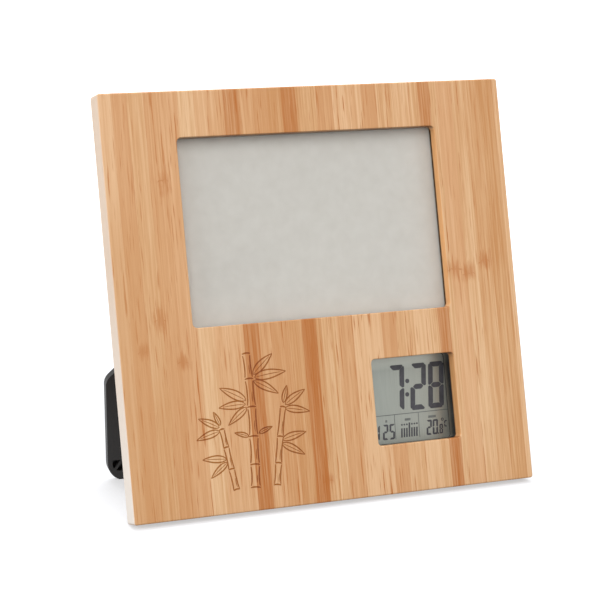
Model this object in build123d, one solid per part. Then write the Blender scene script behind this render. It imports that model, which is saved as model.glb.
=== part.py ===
from build123d import *
import math
import os

# Photo frame clock: a leaning bamboo board with a picture opening, a small
# liquid crystal clock behind a window, and a fold-out plastic leg.
#
# Millimetres. Every piece is drawn in the board's own frame: X across, Y from
# the front face to the back, Z up the board from its lower edge. The leg is
# drawn folded against the board. At the end the leg swings out to its open
# stop, and everything leans back and stands on the table.

# Board
board_width = 217.0
board_height = 209.0
board_thick = 12.0
board_corner = 1.3
board_arris = 0.8
board_lean = 13.7

# Picture opening and the stack behind it. With these margins and covers the
# board holds a print of 152.4 by 101.6.
picture_side_margin = 38.5
picture_top_margin = 23.2
openings_gap = 23.4
picture_corner = 2.5
picture_lip = 5.2
opening_arris = 0.6
print_side_cover = 6.2
print_end_cover = 4.0
print_play = 0.4
pane_thick = 2.0
card_thick = 0.6
stack_play = 0.2
thumb_notch_radius = 8.0

# Turn tabs of the backing board
tab_length = 20.0
tab_width = 9.0
tab_thick = 1.2
tab_reach = 5.0
tab_spread = 56.0
tab_gap = 0.15
tab_screw_radius = 1.5
tab_screw_length = 8.0
tab_screw_head_radius = 3.0
tab_screw_head_height = 1.6
tab_bore_play = 0.08

# Screws in general
pilot_play = 0.05
recess_slot_width = 0.7
recess_slot_length = 3.0
recess_slot_depth = 0.6

# Clock window and display
window_width = 46.3
window_height = 43.9
window_right_margin = 39.3
window_bottom_margin = 24.9
window_corner = 2.0
window_lip = 6.2
neck_wall = 4.0
neck_play = 0.2
display_setback = 13.0
display_overlap = 2.0
display_thick = 2.8
display_play = 0.2
display_step = 1.2
gasket_thick = 0.8
connector_width = 2.4
connector_height = 2.0
connector_inset = 1.5
connector_end_inset = 4.0

# Clock case
case_wall = 2.0
case_front_wall = 2.0
case_corner = 3.0
case_edge_round = 0.6
boss_radius = 2.3
boss_gap = 0.4
bay_wall = 1.2
partition_thick = 1.5
partition_top_play = 0.2
lead_notch_width = 4.0
lead_notch_depth = 5.0
rail_play = 0.4
rail_thick = 2.0
rail_end_inset = 5.0
left_boss_spread = 30.0
right_boss_spread = 46.0
ear_width = 9.0
ear_length = 9.0
ear_thick = 1.5
ear_spread = 38.0
ear_screw_radius = 1.45
ear_screw_head_radius = 2.8
ear_screw_length = 8.0
ear_bore_play = 0.15

# Clock cover
cover_thick = 2.0
cover_lip_depth = 1.2
cover_lip_thick = 1.0
cover_lip_play = 0.15
cover_screw_radius = 0.9
cover_screw_head_radius = 1.9
cover_screw_head_height = 1.0
cover_screw_length = 9.0
cover_bore_play = 0.2
cover_post_radius = 1.5
cover_post_side_inset = 3.0
cover_post_lead_gap = 4.0
cover_post_play = 0.1
vent_width = 1.0
vent_length = 7.0
vent_pitch = 2.2
vent_count = 3
sound_hole_radius = 0.8
sound_hole_ring_radius = 3.0
sound_hole_count = 5

# Circuit board and what sits on it
circuit_thick = 1.6
circuit_play = 0.3
chip_radius = 5.0
chip_height = 1.4
chip_drop = 9.0
crystal_radius = 1.0
crystal_length = 6.0
crystal_offset = 12.0
crystal_drop = 17.0
sounder_radius = 6.0
sounder_height = 3.5
sounder_offset = 14.0
sounder_drop = 12.0
sensor_radius = 1.2
sensor_edge = 3.0

# Push buttons
button_radius = 3.0
button_proud = 1.0
button_crown = 0.4
button_bore_play = 0.25
button_flange = 1.1
button_flange_thick = 1.0
button_flange_gap = 0.2
button_stem_radius = 1.3
button_travel = 0.8
button_end_gap = 0.2
button_pitch = 11.0
button_rise = 12.0
dome_radius = 2.6
dome_height = 1.0

# AAA cells and their contacts
cell_radius = 5.25
cell_length = 44.5
cell_cap_radius = 1.9
cell_cap_height = 1.0
cell_edge_round = 0.5
cell_play = 0.4
cell_back_play = 0.3
contact_thick = 0.5
contact_width = 9.4
contact_depth = 9.0
spring_length = 5.0
spring_wire_radius = 0.35
spring_large_radius = 3.1
spring_turns = 3
spring_close_share = 0.35
spring_end_play = 0.05
lead_radius = 0.5
lead_drop = 1.6
lead_bend = 1.0
lead_plus_back_gap = 0.8
lead_minus_back_gap = 2.6
lead_plus_side_gap = 0.5
lead_landing = 3.2

# Battery door
door_thick = 1.2
door_overlap = 1.2
door_play = 0.25
door_side_inset = 0.2
door_end_inset = 1.0
door_skirt_depth = 0.3
door_grip_width = 1.0
door_grip_pitch = 2.2
door_grip_height = 0.5
door_grip_count = 4

# Leg
leg_thick = 4.5
leg_open = 28.0
leg_foot_inset = 13.2
leg_shoulder_inset = 8.4
leg_shoulder_height = 59.0
leg_neck_length = 13.8
leg_neck_width = 50.0
leg_foot_corner = 12.0
leg_shoulder_corner = 7.0
leg_neck_corner = 10.0
leg_edge_round = 0.9
leg_window_play = 4.0
leg_window_low_play = 3.0
leg_window_corner = 8.0
channel_low_rim = 5.3
channel_side_rim = 1.6
channel_corner = 4.5
channel_height = 6.5
channel_depth = 3.6
channel_rib_thick = 1.5
channel_rib_pitch = 10.0
channel_rib_angle = 57.0
channel_first_rib = 0.2
panel_inset = 9.0
panel_depth = 0.6
panel_corner = 6.0

# Hinge
hinge_rise = 11.0
hinge_standoff = 5.0
pin_radius = 1.5
pin_play = 0.06
pin_seat_play = 0.02
pin_head_radius = 2.5
pin_head_thick = 0.8
barrel_radius = 3.6
bracket_thick = 1.2
bracket_height = 26.0
bracket_side = 8.0
bracket_corner = 3.0
bracket_ear_thick = 1.3
bracket_ear_radius = 4.3
bracket_ear_gap = 0.3
bracket_screw_radius = 1.2
bracket_screw_length = 3.2
bracket_screw_head_radius = 2.5
bracket_screw_head_height = 1.3
bracket_screw_spread = 16.0
heel_width = 36.0
heel_gap = 0.1

# How far a cutting tool runs past a face
overrun = 1.0

full_turn = 360.0
half_turn = 180.0
quarter_turn = 90.0


def panel(face, front, back):
    """Thicken a face drawn in X and Z between two depths behind the front."""
    return Pos(0, back, 0) * Rot(quarter_turn, 0, 0) * extrude(face, back - front)


def rect_face(left, right, low, high, corner=0.0):
    """A rectangle between two sides and two heights, with rounded corners."""
    width = right - left
    height = high - low
    shape = RectangleRounded(width, height, corner) if corner > 0 else Rectangle(width, height)
    return Pos((left + right) / 2, (low + high) / 2) * shape


def disc_face(x, z, radius):
    """A round face about a point of the board."""
    return Pos(x, z) * Circle(radius)


def outline_face(points, radii):
    """A face inside a closed outline whose corners are rounded one by one."""
    return make_face(FilletPolyline(points, radius=radii, close=True))


def slab(left, right, front, back, low, high, corner=0.0):
    """A plate between two sides, two depths and two heights."""
    return panel(rect_face(left, right, low, high, corner), front, back)


def peg(x, z, front, back, radius):
    """A round peg or hole square to the board."""
    return panel(disc_face(x, z, radius), front, back)


def cone_peg(x, z, front, back, front_radius, back_radius):
    """A tapered peg or hole square to the board."""
    cone = Cone(back_radius, front_radius, back - front, align=(Align.CENTER, Align.CENTER, Align.MIN))
    return Pos(x, back, z) * Rot(quarter_turn, 0, 0) * cone


def rod_x(start, end, y, z, radius):
    """A round rod across the board."""
    rod = Cylinder(radius, end - start, align=(Align.CENTER, Align.CENTER, Align.MIN))
    return Pos(start, y, z) * Rot(0, quarter_turn, 0) * rod


def rod_z(x, y, low, high, radius):
    """A round rod up the board."""
    return Pos(x, y, low) * Cylinder(radius, high - low, align=(Align.CENTER, Align.CENTER, Align.MIN))


def pan_screw(x, z, seat, head_radius, head_height, shank_radius, length):
    """A slotted pan-head screw whose head rests on a depth of the board."""
    head = cone_peg(x, z, seat, seat + head_height, head_radius, head_radius - head_height / 2)
    shank = peg(x, z, seat - length, seat, shank_radius)
    return screw_slot(head + shank, x, z, seat + head_height, recess_slot_depth)


def flush_screw(x, z, top, head_radius, head_height, shank_radius, length):
    """A slotted countersunk screw whose head ends level with a depth."""
    head = cone_peg(x, z, top - head_height, top, shank_radius, head_radius)
    shank = peg(x, z, top - length, top - head_height, shank_radius)
    return screw_slot(head + shank, x, z, top, recess_slot_depth)


def screw_slot(screw, x, z, top, depth):
    """Cut the driver's slot across a screw head."""
    half_length = recess_slot_length / 2
    half_width = recess_slot_width / 2
    return screw - slab(x - half_length, x + half_length, top - depth, top + overrun,
                        z - half_width, z + half_width)


def group(solids):
    """Several separate solids of one kind in one shape."""
    return Compound(children=list(solids))


# Places that follow from the sizes

# Picture opening, print rebate and the depths of what lies in it
picture_right = board_width / 2 - picture_side_margin
picture_left = -picture_right
picture_high = board_height - picture_top_margin
picture_low = window_bottom_margin + window_height + openings_gap
picture_middle = (picture_low + picture_high) / 2
print_half_width = picture_right + print_side_cover
print_half_height = (picture_high - picture_low) / 2 + print_end_cover
rebate_half_width = print_half_width + print_play
rebate_half_height = print_half_height + print_play
pane_back = picture_lip + pane_thick
card_back = pane_back + card_thick
backing_back = board_thick - stack_play

# Turn tabs
tab_pivot_x = rebate_half_width - tab_reach + tab_length - tab_width / 2
tab_front = board_thick + tab_gap
tab_back = tab_front + tab_thick
tab_screw_seat = tab_back + tab_gap
tab_heights = (picture_middle - tab_spread / 2, picture_middle + tab_spread / 2)
tab_height_names = ("low", "high")

# Clock window
window_right = board_width / 2 - window_right_margin
window_left = window_right - window_width
window_low = window_bottom_margin
window_high = window_low + window_height
window_x = (window_left + window_right) / 2
window_z = (window_low + window_high) / 2

# Display stack, by depth
gasket_front = display_setback - gasket_thick
display_back = display_setback + display_thick
circuit_front = display_back + connector_height
circuit_back = circuit_front + circuit_thick
display_left = window_left - display_overlap
display_right = window_right + display_overlap
display_low = window_low - display_overlap
display_high = window_high + display_overlap

# Clock case, from the display outwards
right_boss_x = display_right + boss_gap + boss_radius
left_boss_x = display_left - boss_gap - boss_radius
case_right = right_boss_x + boss_radius
partition_right = left_boss_x - boss_radius
partition_left = partition_right - partition_thick
cell_right_x = partition_left - cell_play - cell_radius
cell_left_x = cell_right_x - cell_radius - cell_play - cell_radius
bay_left = cell_left_x - cell_radius - cell_play
case_left = bay_left - case_wall
bay_height = cell_length + spring_length + contact_thick + contact_thick
bay_low = window_z - bay_height / 2
bay_high = window_z + bay_height / 2
inner_half_height = max(bay_height / 2 + bay_wall,
                        window_height / 2 + display_overlap + rail_play + rail_thick)
inner_low = window_z - inner_half_height
inner_high = window_z + inner_half_height
case_low = inner_low - case_wall
case_high = inner_high + case_wall
case_inner_front = board_thick + case_front_wall
cell_y = case_inner_front + cell_back_play + cell_radius
case_back = cell_y + cell_radius + cell_back_play
cover_back = case_back + cover_thick
ear_left_x = case_left - ear_length + ear_width / 2
ear_right_x = case_right + ear_length - ear_width / 2
ear_heights = (window_z - ear_spread / 2, window_z + ear_spread / 2)
ear_back = board_thick + ear_thick
boss_places = (
    (left_boss_x, window_z - left_boss_spread / 2),
    (left_boss_x, window_z + left_boss_spread / 2),
    (right_boss_x, window_z - right_boss_spread / 2),
    (right_boss_x, window_z + right_boss_spread / 2),
)

# Circuit board and what it carries
circuit_left = display_left
circuit_right = display_right
circuit_low = inner_low + circuit_play
circuit_high = inner_high - circuit_play
lead_level = bay_high - contact_thick - lead_drop
cover_post_rise = lead_level - cover_post_lead_gap - window_z
dome_back = circuit_back + dome_height
button_z = window_z + button_rise
button_names = ("mode_button", "set_button", "up_button", "down_button")
button_xs = [window_x + (i - (len(button_names) - 1) / 2) * button_pitch for i in range(len(button_names))]
sounder_x = window_x + sounder_offset
sounder_z = window_z - sounder_drop
sensor_x = circuit_right - sensor_edge
sensor_z = circuit_low + sensor_edge

# Battery door
door_left = bay_left + door_side_inset
door_right = partition_left - door_side_inset
door_low = bay_low + door_end_inset
door_high = bay_high - door_end_inset

# Lean of the board and where it puts its parts on the table
lean = math.radians(board_lean)
leg_from_upright = math.radians(leg_open - board_lean)
stand_drop = (board_thick - board_arris) * math.sin(lean) + board_arris * (1 - math.cos(lean))

# Hinge, and the leg's length from it to the table
hinge_height = picture_middle + hinge_rise
hinge_y = board_thick + hinge_standoff
hinge_above_table = hinge_height * math.cos(lean) - hinge_y * math.sin(lean) + stand_drop
leg_front = hinge_y - leg_thick / 2
leg_back = hinge_y + leg_thick / 2
leg_length = (hinge_above_table - leg_thick / 2 * math.sin(leg_from_upright)) / math.cos(leg_from_upright)
foot_z = hinge_height - leg_length
foot_extra = leg_thick * math.tan(leg_from_upright)
leg_foot_half = board_width / 2 - leg_foot_inset
leg_shoulder_half = board_width / 2 - leg_shoulder_inset

# Middle of the whole depth, from the board's front arris to the leg's heel
front_reach = board_arris * (math.cos(lean) + math.sin(lean) - 1)
hinge_behind = hinge_y * math.cos(lean) + hinge_height * math.sin(lean)
rear_reach = (hinge_behind + hinge_above_table * math.tan(leg_from_upright)
              + leg_thick / 2 / math.cos(leg_from_upright))
depth_middle = (front_reach + rear_reach) / 2


def board_with_openings():
    """The bamboo board, with both openings, their rebates and the pilots."""
    half = board_width / 2
    blank = slab(-half, half, 0, board_thick, 0, board_height, board_corner)
    blank = fillet(blank.faces().filter_by(Axis.Y).edges(), board_arris)
    picture = slab(picture_left, picture_right, -overrun, board_thick, picture_low, picture_high,
                   picture_corner)
    window = slab(window_left, window_right, -overrun, board_thick, window_low, window_high,
                  window_corner)
    board = blank - picture - window
    rims = board.faces().filter_by(Axis.Y).sort_by(Axis.Y)[0].inner_wires()
    board = fillet([edge for wire in rims for edge in wire.edges()], opening_arris)
    board -= slab(-rebate_half_width, rebate_half_width, picture_lip, board_thick + overrun,
                  picture_middle - rebate_half_height, picture_middle + rebate_half_height)
    neck = neck_wall + neck_play
    board -= slab(window_left - neck, window_right + neck, window_lip, board_thick + overrun,
                  window_low - neck, window_high + neck, window_corner)
    for x in (-tab_pivot_x, tab_pivot_x):
        for z in tab_heights:
            board -= peg(x, z, tab_screw_seat - tab_screw_length - pilot_play, board_thick + overrun,
                         tab_screw_radius + pilot_play)
    for x in (ear_left_x, ear_right_x):
        for z in ear_heights:
            board -= peg(x, z, ear_back - ear_screw_length - pilot_play, board_thick + overrun,
                         ear_screw_radius + pilot_play)
    return board


def picture_sheet(front, back, half_width, half_height):
    """One flat sheet of the stack behind the picture opening."""
    return slab(-half_width, half_width, front, back, picture_middle - half_height,
                picture_middle + half_height)


def backing():
    """The backing board, with a thumb notch and the bracket's pilot holes."""
    sheet = picture_sheet(card_back, backing_back, print_half_width, print_half_height)
    sheet -= peg(0, picture_middle + print_half_height, card_back - overrun, backing_back + overrun,
                 thumb_notch_radius)
    for x, z in bracket_screw_places():
        sheet -= peg(x, z, backing_back - bracket_screw_length - pilot_play, backing_back + overrun,
                     bracket_screw_radius + pilot_play)
    return sheet


def turn_tab(side, height):
    """A flat tab with round ends that turns on its screw, pointing inwards."""
    reach = tab_length - tab_width
    slot = Pos(side * (tab_pivot_x - reach / 2), height) * SlotOverall(tab_length, tab_width)
    tab = panel(slot, tab_front, tab_back)
    return tab - peg(side * tab_pivot_x, height, tab_front - overrun, tab_back + overrun,
                     tab_screw_radius + tab_bore_play)


def turn_tab_screw(side, height):
    """The screw that a turn tab swings on."""
    return pan_screw(side * tab_pivot_x, height, tab_screw_seat, tab_screw_head_radius,
                     tab_screw_head_height, tab_screw_radius, tab_screw_length)


def case_shell():
    """Front shell of the clock: a neck that lines the window, and a box."""
    shell = slab(case_left, case_right, board_thick, case_back, case_low, case_high, case_corner)
    shell -= slab(bay_left, case_right - case_wall, case_inner_front, case_back + overrun,
                  inner_low, inner_high)
    shell += slab(window_left - neck_wall, window_right + neck_wall, window_lip, case_inner_front,
                  window_low - neck_wall, window_high + neck_wall, window_corner)
    for x, z in boss_places:
        shell += peg(x, z, case_inner_front, case_back, boss_radius)
    shell += slab(partition_left, partition_right, case_inner_front,
                  case_back - partition_top_play, inner_low, inner_high)
    shell += slab(bay_left, partition_left, case_inner_front, case_back - partition_top_play,
                  inner_low, bay_low)
    shell += slab(bay_left, partition_left, case_inner_front, case_back - partition_top_play,
                  bay_high, inner_high)
    for low, high in ((inner_low, display_low - rail_play), (display_high + rail_play, inner_high)):
        shell += slab(display_left + rail_end_inset, display_right - rail_end_inset, case_inner_front,
                      circuit_front, low, high)
    for x in (ear_left_x, ear_right_x):
        for z in ear_heights:
            inner = min(max(x, case_left), case_right)
            shell += peg(x, z, board_thick, ear_back, ear_width / 2)
            shell += slab(min(x, inner), max(x, inner), board_thick, ear_back, z - ear_width / 2,
                          z + ear_width / 2)
    shell -= slab(window_left, window_right, window_lip - overrun, gasket_front, window_low,
                  window_high, window_corner)
    shell -= slab(display_left - display_play, display_right + display_play, gasket_front,
                  case_inner_front + overrun, display_low - display_play, display_high + display_play)
    shell -= slab(partition_left - overrun, partition_right + overrun,
                  case_back - lead_notch_depth, case_back, bay_high - lead_notch_width, bay_high)
    for x, z in boss_places:
        shell -= peg(x, z, cover_back - cover_screw_length - pilot_play, case_back + overrun,
                     cover_screw_radius + pilot_play)
    for x in (ear_left_x, ear_right_x):
        for z in ear_heights:
            shell -= peg(x, z, board_thick - overrun, ear_back + overrun,
                         ear_screw_radius + ear_bore_play)
            shell -= cone_peg(x, z, board_thick, ear_back, ear_screw_radius + ear_bore_play,
                              ear_screw_head_radius + ear_bore_play)
    return shell


def ear_screw(x, z):
    """A countersunk screw through an ear of the case into the board."""
    return flush_screw(x, z, ear_back, ear_screw_head_radius, ear_thick, ear_screw_radius,
                       ear_screw_length)


def rear_cover():
    """Rear cover: lip, posts, button holes, vents and the battery opening."""
    cover = slab(case_left, case_right, case_back, cover_back, case_low, case_high, case_corner)
    cover = fillet(cover.faces().sort_by(Axis.Y)[-1].edges(), case_edge_round)
    lip_left = partition_right + cover_lip_play
    lip_right = case_right - case_wall - cover_lip_play
    lip_low = inner_low + cover_lip_play
    lip_high = inner_high - cover_lip_play
    lip = slab(lip_left, lip_right, case_back - cover_lip_depth, case_back, lip_low, lip_high)
    lip -= slab(lip_left + cover_lip_thick, lip_right - cover_lip_thick,
                case_back - cover_lip_depth - overrun, case_back,
                lip_low + cover_lip_thick, lip_high - cover_lip_thick)
    for x, z in boss_places:
        lip -= peg(x, z, case_back - cover_lip_depth - overrun, case_back,
                   boss_radius + cover_lip_play)
    lip -= slab(lip_left - overrun, lip_left + cover_lip_thick + overrun,
                case_back - cover_lip_depth - overrun, case_back,
                bay_high - lead_notch_width, bay_high)
    cover += lip
    for x in (circuit_left + cover_post_side_inset, circuit_right - cover_post_side_inset):
        for z in (window_z - cover_post_rise, window_z + cover_post_rise):
            cover += peg(x, z, circuit_back + cover_post_play, case_back, cover_post_radius)
    cover -= slab(door_left, door_right, case_back - overrun, cover_back + overrun, door_low, door_high)
    seat = door_overlap + door_play
    cover -= slab(door_left - seat + door_side_inset, door_right + seat, cover_back - door_thick,
                  cover_back + overrun, door_low - seat, door_high + seat)
    for x in button_xs:
        cover -= peg(x, button_z, case_back - overrun, cover_back + overrun,
                     button_radius + button_bore_play)
    for i in range(sound_hole_count):
        angle = math.radians(i * full_turn / sound_hole_count)
        cover -= peg(sounder_x + sound_hole_ring_radius * math.cos(angle),
                     sounder_z + sound_hole_ring_radius * math.sin(angle),
                     case_back - overrun, cover_back + overrun, sound_hole_radius)
    for i in range(vent_count):
        x = sensor_x + (i - (vent_count - 1) / 2) * vent_pitch
        cover -= slab(x - vent_width / 2, x + vent_width / 2, case_back - overrun,
                      cover_back + overrun, sensor_z - vent_width, sensor_z - vent_width + vent_length)
    for x, z in boss_places:
        cover -= peg(x, z, case_back - overrun, cover_back + overrun,
                     cover_screw_radius + cover_bore_play)
        cover -= cone_peg(x, z, cover_back - cover_screw_head_height, cover_back,
                          cover_screw_radius + cover_bore_play,
                          cover_screw_head_radius + cover_bore_play)
    return cover


def cover_screw(x, z):
    """A small countersunk screw that holds the cover to a boss."""
    return flush_screw(x, z, cover_back, cover_screw_head_radius, cover_screw_head_height,
                       cover_screw_radius, cover_screw_length)


def gasket():
    """Foam frame between the neck's seat and the display glass."""
    ring = slab(display_left, display_right, gasket_front, display_setback, display_low, display_high)
    return ring - slab(window_left, window_right, gasket_front - overrun, display_setback + overrun,
                       window_low, window_high, window_corner)


def display():
    """Display glass: a front plate and a shorter plate that bares the contacts."""
    middle = (display_setback + display_back) / 2
    glass = slab(display_left, display_right, display_setback, middle, display_low, display_high)
    return glass + slab(display_left + display_step, display_right - display_step, middle,
                        display_back, display_low, display_high)


def connector(low):
    """A rubber strip that carries the signals from circuit board to glass."""
    return slab(display_left + connector_end_inset, display_right - connector_end_inset,
                display_back, circuit_front, low, low + connector_width)


def circuit():
    """The printed circuit board."""
    return slab(circuit_left, circuit_right, circuit_front, circuit_back, circuit_low, circuit_high)


def chip_blob():
    """The clock chip under its domed blob of resin."""
    blob = peg(window_x, window_z - chip_drop, circuit_back, circuit_back + chip_height, chip_radius)
    return fillet(blob.faces().sort_by(Axis.Y)[-1].edges(), chip_height / 2)


def crystal():
    """The quartz crystal in its small metal can, lying on the circuit board."""
    x = window_x - crystal_offset
    return rod_x(x - crystal_length / 2, x + crystal_length / 2, circuit_back + crystal_radius,
                 window_z - crystal_drop, crystal_radius)


def sounder():
    """The alarm sounder, a drum with a small hole in its lid."""
    drum = peg(sounder_x, sounder_z, circuit_back, circuit_back + sounder_height, sounder_radius)
    top = circuit_back + sounder_height
    return drum - peg(sounder_x, sounder_z, top - sound_hole_radius, top + overrun, sound_hole_radius)


def sensor_bead():
    """The temperature sensor, a small bead standing on the circuit board."""
    stem = peg(sensor_x, sensor_z, circuit_back, circuit_back + sensor_radius, sensor_radius / 2)
    bead = Pos(sensor_x, circuit_back + sensor_radius + sensor_radius / 2, sensor_z) * Sphere(sensor_radius)
    return stem + bead


def switch_dome(x):
    """A rubber dome switch on the circuit board."""
    return cone_peg(x, button_z, circuit_back, dome_back, dome_radius, dome_radius - dome_height)


def push_button(x):
    """A push button: crowned cap, flange under the cover, and a stem."""
    flange_back = case_back - button_flange_gap
    flange_front = flange_back - button_flange_thick
    top = cover_back + button_proud
    cap = peg(x, button_z, flange_back, top, button_radius)
    cap = fillet(cap.faces().sort_by(Axis.Y)[-1].edges(), button_crown)
    flange = peg(x, button_z, flange_front, flange_back, button_radius + button_flange)
    stem = peg(x, button_z, dome_back + button_travel + button_end_gap, flange_front,
               button_stem_radius)
    return cap + flange + stem


def cell(x, cap_up):
    """An AAA cell, its cap up or down."""
    body_length = cell_length - cell_cap_height
    low = bay_low + contact_thick + (spring_length if cap_up else cell_cap_height)
    body = rod_z(x, cell_y, low, low + body_length, cell_radius)
    body = fillet(body.edges().filter_by(GeomType.CIRCLE), cell_edge_round)
    if cap_up:
        return body + rod_z(x, cell_y, low + body_length, low + cell_length, cell_cap_radius)
    return body + rod_z(x, cell_y, low - cell_cap_height, low, cell_cap_radius)


def spring_station(share, height):
    """A point of the closing helix and its direction there."""
    turned = share * spring_turns * 2 * math.pi
    radius = spring_large_radius * (1 - spring_close_share * share)
    closing = -spring_large_radius * spring_close_share
    winding = radius * spring_turns * 2 * math.pi
    across = Vector(math.cos(turned), math.sin(turned), 0)
    along = Vector(-math.sin(turned), math.cos(turned), 0)
    point = across * radius + Vector(0, 0, height * share)
    return point, (across * closing + along * winding + Vector(0, 0, height)).normalized()


def biarc(start, start_way, end, end_way):
    """Two arcs that leave one point and reach the other in the given directions."""
    chord = end - start
    bend = 2 * (1 - start_way.dot(end_way))
    slope = chord.dot(start_way + end_way)
    reach = (math.sqrt(slope * slope + bend * chord.dot(chord)) - slope) / bend
    joint = (start + start_way * reach + end - end_way * reach) * (1 / 2)
    return [TangentArc(start, joint, tangent=start_way),
            TangentArc(joint, end, tangent=-end_way, tangent_from_first=False)]


def cell_spring(x, low, wide_end_low):
    """A conical contact spring of a cell, wound as one round wire."""
    height = spring_length - spring_wire_radius * 2 - spring_end_play * 2
    steps = spring_turns * 2
    stations = [spring_station(i / steps, height) for i in range(steps + 1)]
    arcs = [arc for (start, start_way), (end, end_way) in zip(stations, stations[1:])
            for arc in biarc(start, start_way, end, end_way)]
    coil = Wire(arcs)
    section = Plane(origin=coil @ 0, z_dir=coil % 0) * Circle(spring_wire_radius)
    spring = sweep(section, path=coil)
    start = spring_wire_radius + spring_end_play
    if wide_end_low:
        return Pos(x, cell_y, low + start) * spring
    return Pos(x, cell_y, low + spring_length - start) * Rot(half_turn, 0, 0) * spring


def contact_plate(x, low, width):
    """A nickel contact plate at one end of the cell bay."""
    half_depth = contact_depth / 2
    return slab(x - width / 2, x + width / 2, cell_y - half_depth, cell_y + half_depth, low,
                low + contact_thick)


def lead(x, y, landing_x):
    """An insulated lead from a terminal plate to the circuit board's back."""
    route = FilletPolyline((x, y, lead_level + lead_drop), (x, y, lead_level),
                           (landing_x, y, lead_level), (landing_x, circuit_back, lead_level),
                           radius=lead_bend)
    section = Plane(origin=route @ 0, z_dir=route % 0) * Circle(lead_radius)
    return sweep(section, path=route)


def door():
    """The battery door: plate, skirt inside the opening, and grip ribs."""
    plate = slab(door_left - door_overlap + door_side_inset, door_right + door_overlap,
                 cover_back - door_thick, cover_back, door_low - door_overlap,
                 door_high + door_overlap)
    skirt_depth = cover_thick - door_thick + door_skirt_depth
    skirt = slab(door_left + door_play, door_right - door_play, cover_back - door_thick - skirt_depth,
                 cover_back - door_thick, door_low + door_play, door_high - door_play)
    skirt -= slab(door_left + door_play + cover_lip_thick, door_right - door_play - cover_lip_thick,
                  cover_back - door_thick - skirt_depth - overrun, cover_back - door_thick,
                  door_low + door_play + cover_lip_thick, door_high - door_play - cover_lip_thick)
    clear = cell_y + cell_radius + door_play
    for x in (cell_left_x, cell_right_x):
        skirt -= rod_z(x, cell_y, door_low, door_high, clear - cell_y)
    middle = (door_left + door_right) / 2
    half = (door_right - door_left) / 4
    result = plate + skirt
    for i in range(door_grip_count):
        low = door_high - (i + 1) * door_grip_pitch - door_grip_width
        result += slab(middle - half, middle + half, cover_back, cover_back + door_grip_height, low,
                       low + door_grip_width)
    return result


def leg_outline():
    """The leg from behind: wide foot, sloping shoulders and a narrow neck."""
    neck = leg_neck_width / 2
    points = [(leg_foot_half, foot_z - foot_extra), (leg_shoulder_half, foot_z + leg_shoulder_height),
              (neck, hinge_height - leg_neck_length), (neck, hinge_height)]
    radii = [leg_foot_corner, leg_shoulder_corner, leg_neck_corner, 0]
    mirrored = [(-x, z) for x, z in reversed(points)]
    return outline_face(points + mirrored, radii + list(reversed(radii)))


def foot_channel():
    """Open cells along the foot's front, between slanting ribs."""
    low = foot_z + channel_low_rim
    high = low + channel_height
    half = leg_foot_half - channel_side_rim
    points = [(half, low), (half, high), (-half, high), (-half, low)]
    cells = panel(outline_face(points, [channel_corner, 0, 0, channel_corner]), leg_front - overrun,
                  leg_front + channel_depth)
    rib_run = channel_height / math.tan(math.radians(channel_rib_angle))
    rib_width = channel_rib_thick / math.sin(math.radians(channel_rib_angle))
    count = int((half * 2 - channel_first_rib) / channel_rib_pitch)
    for i in range(count):
        x = -half + channel_first_rib + i * channel_rib_pitch
        rib = [(x, low), (x + rib_width, low), (x + rib_width + rib_run, high), (x + rib_run, high)]
        cells -= panel(make_face(Polyline(rib, close=True)), leg_front - overrun * 2,
                       leg_front + channel_depth + overrun)
    return cells


def heel_rise():
    """How far the heel stands above the hinge, so that it stops the leg."""
    opening = math.radians(leg_open)
    room = hinge_standoff + stack_play - bracket_thick - heel_gap
    return (room - leg_thick / 2 * math.cos(opening)) / math.sin(opening)


def folded_leg():
    """The leg, lying flat along the board."""
    leg = panel(leg_outline(), leg_front, leg_back)
    leg = fillet(leg.faces().sort_by(Axis.Y)[-1].edges(), leg_edge_round)
    neck = leg_neck_width / 2
    leg += rod_x(-neck, neck, hinge_y, hinge_height, barrel_radius)
    leg += slab(-heel_width / 2, heel_width / 2, leg_front, hinge_y, hinge_height,
                hinge_height + heel_rise())
    leg -= foot_channel()
    leg -= slab(case_left - leg_window_play, case_right + leg_window_play, leg_front - overrun,
                leg_back + overrun, case_low - leg_window_low_play, case_high + leg_window_play,
                leg_window_corner)
    panel_left = -leg_foot_half + panel_inset
    panel_right = case_left - leg_window_play - panel_inset
    leg -= slab(panel_left, panel_right, leg_back - panel_depth, leg_back + overrun,
                case_low - leg_window_low_play, case_high + leg_window_play - panel_inset, panel_corner)
    leg -= rod_x(-neck - overrun, neck + overrun, hinge_y, hinge_height, pin_radius + pin_play)
    return leg


def bracket_screw_places():
    """The four screws of the hinge bracket."""
    x = leg_neck_width / 2 + bracket_ear_gap + bracket_ear_thick + bracket_side / 2
    return [(side * x, hinge_height + end * bracket_screw_spread / 2)
            for side in (-1, 1) for end in (-1, 1)]


def bracket():
    """The hinge bracket: a plate with two ears that carry the pin."""
    ear_inner = leg_neck_width / 2 + bracket_ear_gap
    ear_outer = ear_inner + bracket_ear_thick
    half_width = ear_outer + bracket_side
    half_height = bracket_height / 2
    plate_back = backing_back + bracket_thick
    plate = slab(-half_width, half_width, backing_back, plate_back, hinge_height - half_height,
                 hinge_height + half_height, bracket_corner)
    for side in (-1, 1):
        start = min(side * ear_inner, side * ear_outer)
        ear = rod_x(start, start + bracket_ear_thick, hinge_y, hinge_height, bracket_ear_radius)
        ear += slab(start, start + bracket_ear_thick, plate_back, hinge_y,
                    hinge_height - bracket_ear_radius, hinge_height + bracket_ear_radius)
        plate += ear
    plate -= rod_x(-half_width, half_width, hinge_y, hinge_height, pin_radius + pin_seat_play)
    for x, z in bracket_screw_places():
        plate -= peg(x, z, backing_back - overrun, plate_back + overrun,
                     bracket_screw_radius + pilot_play)
    return plate


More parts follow.
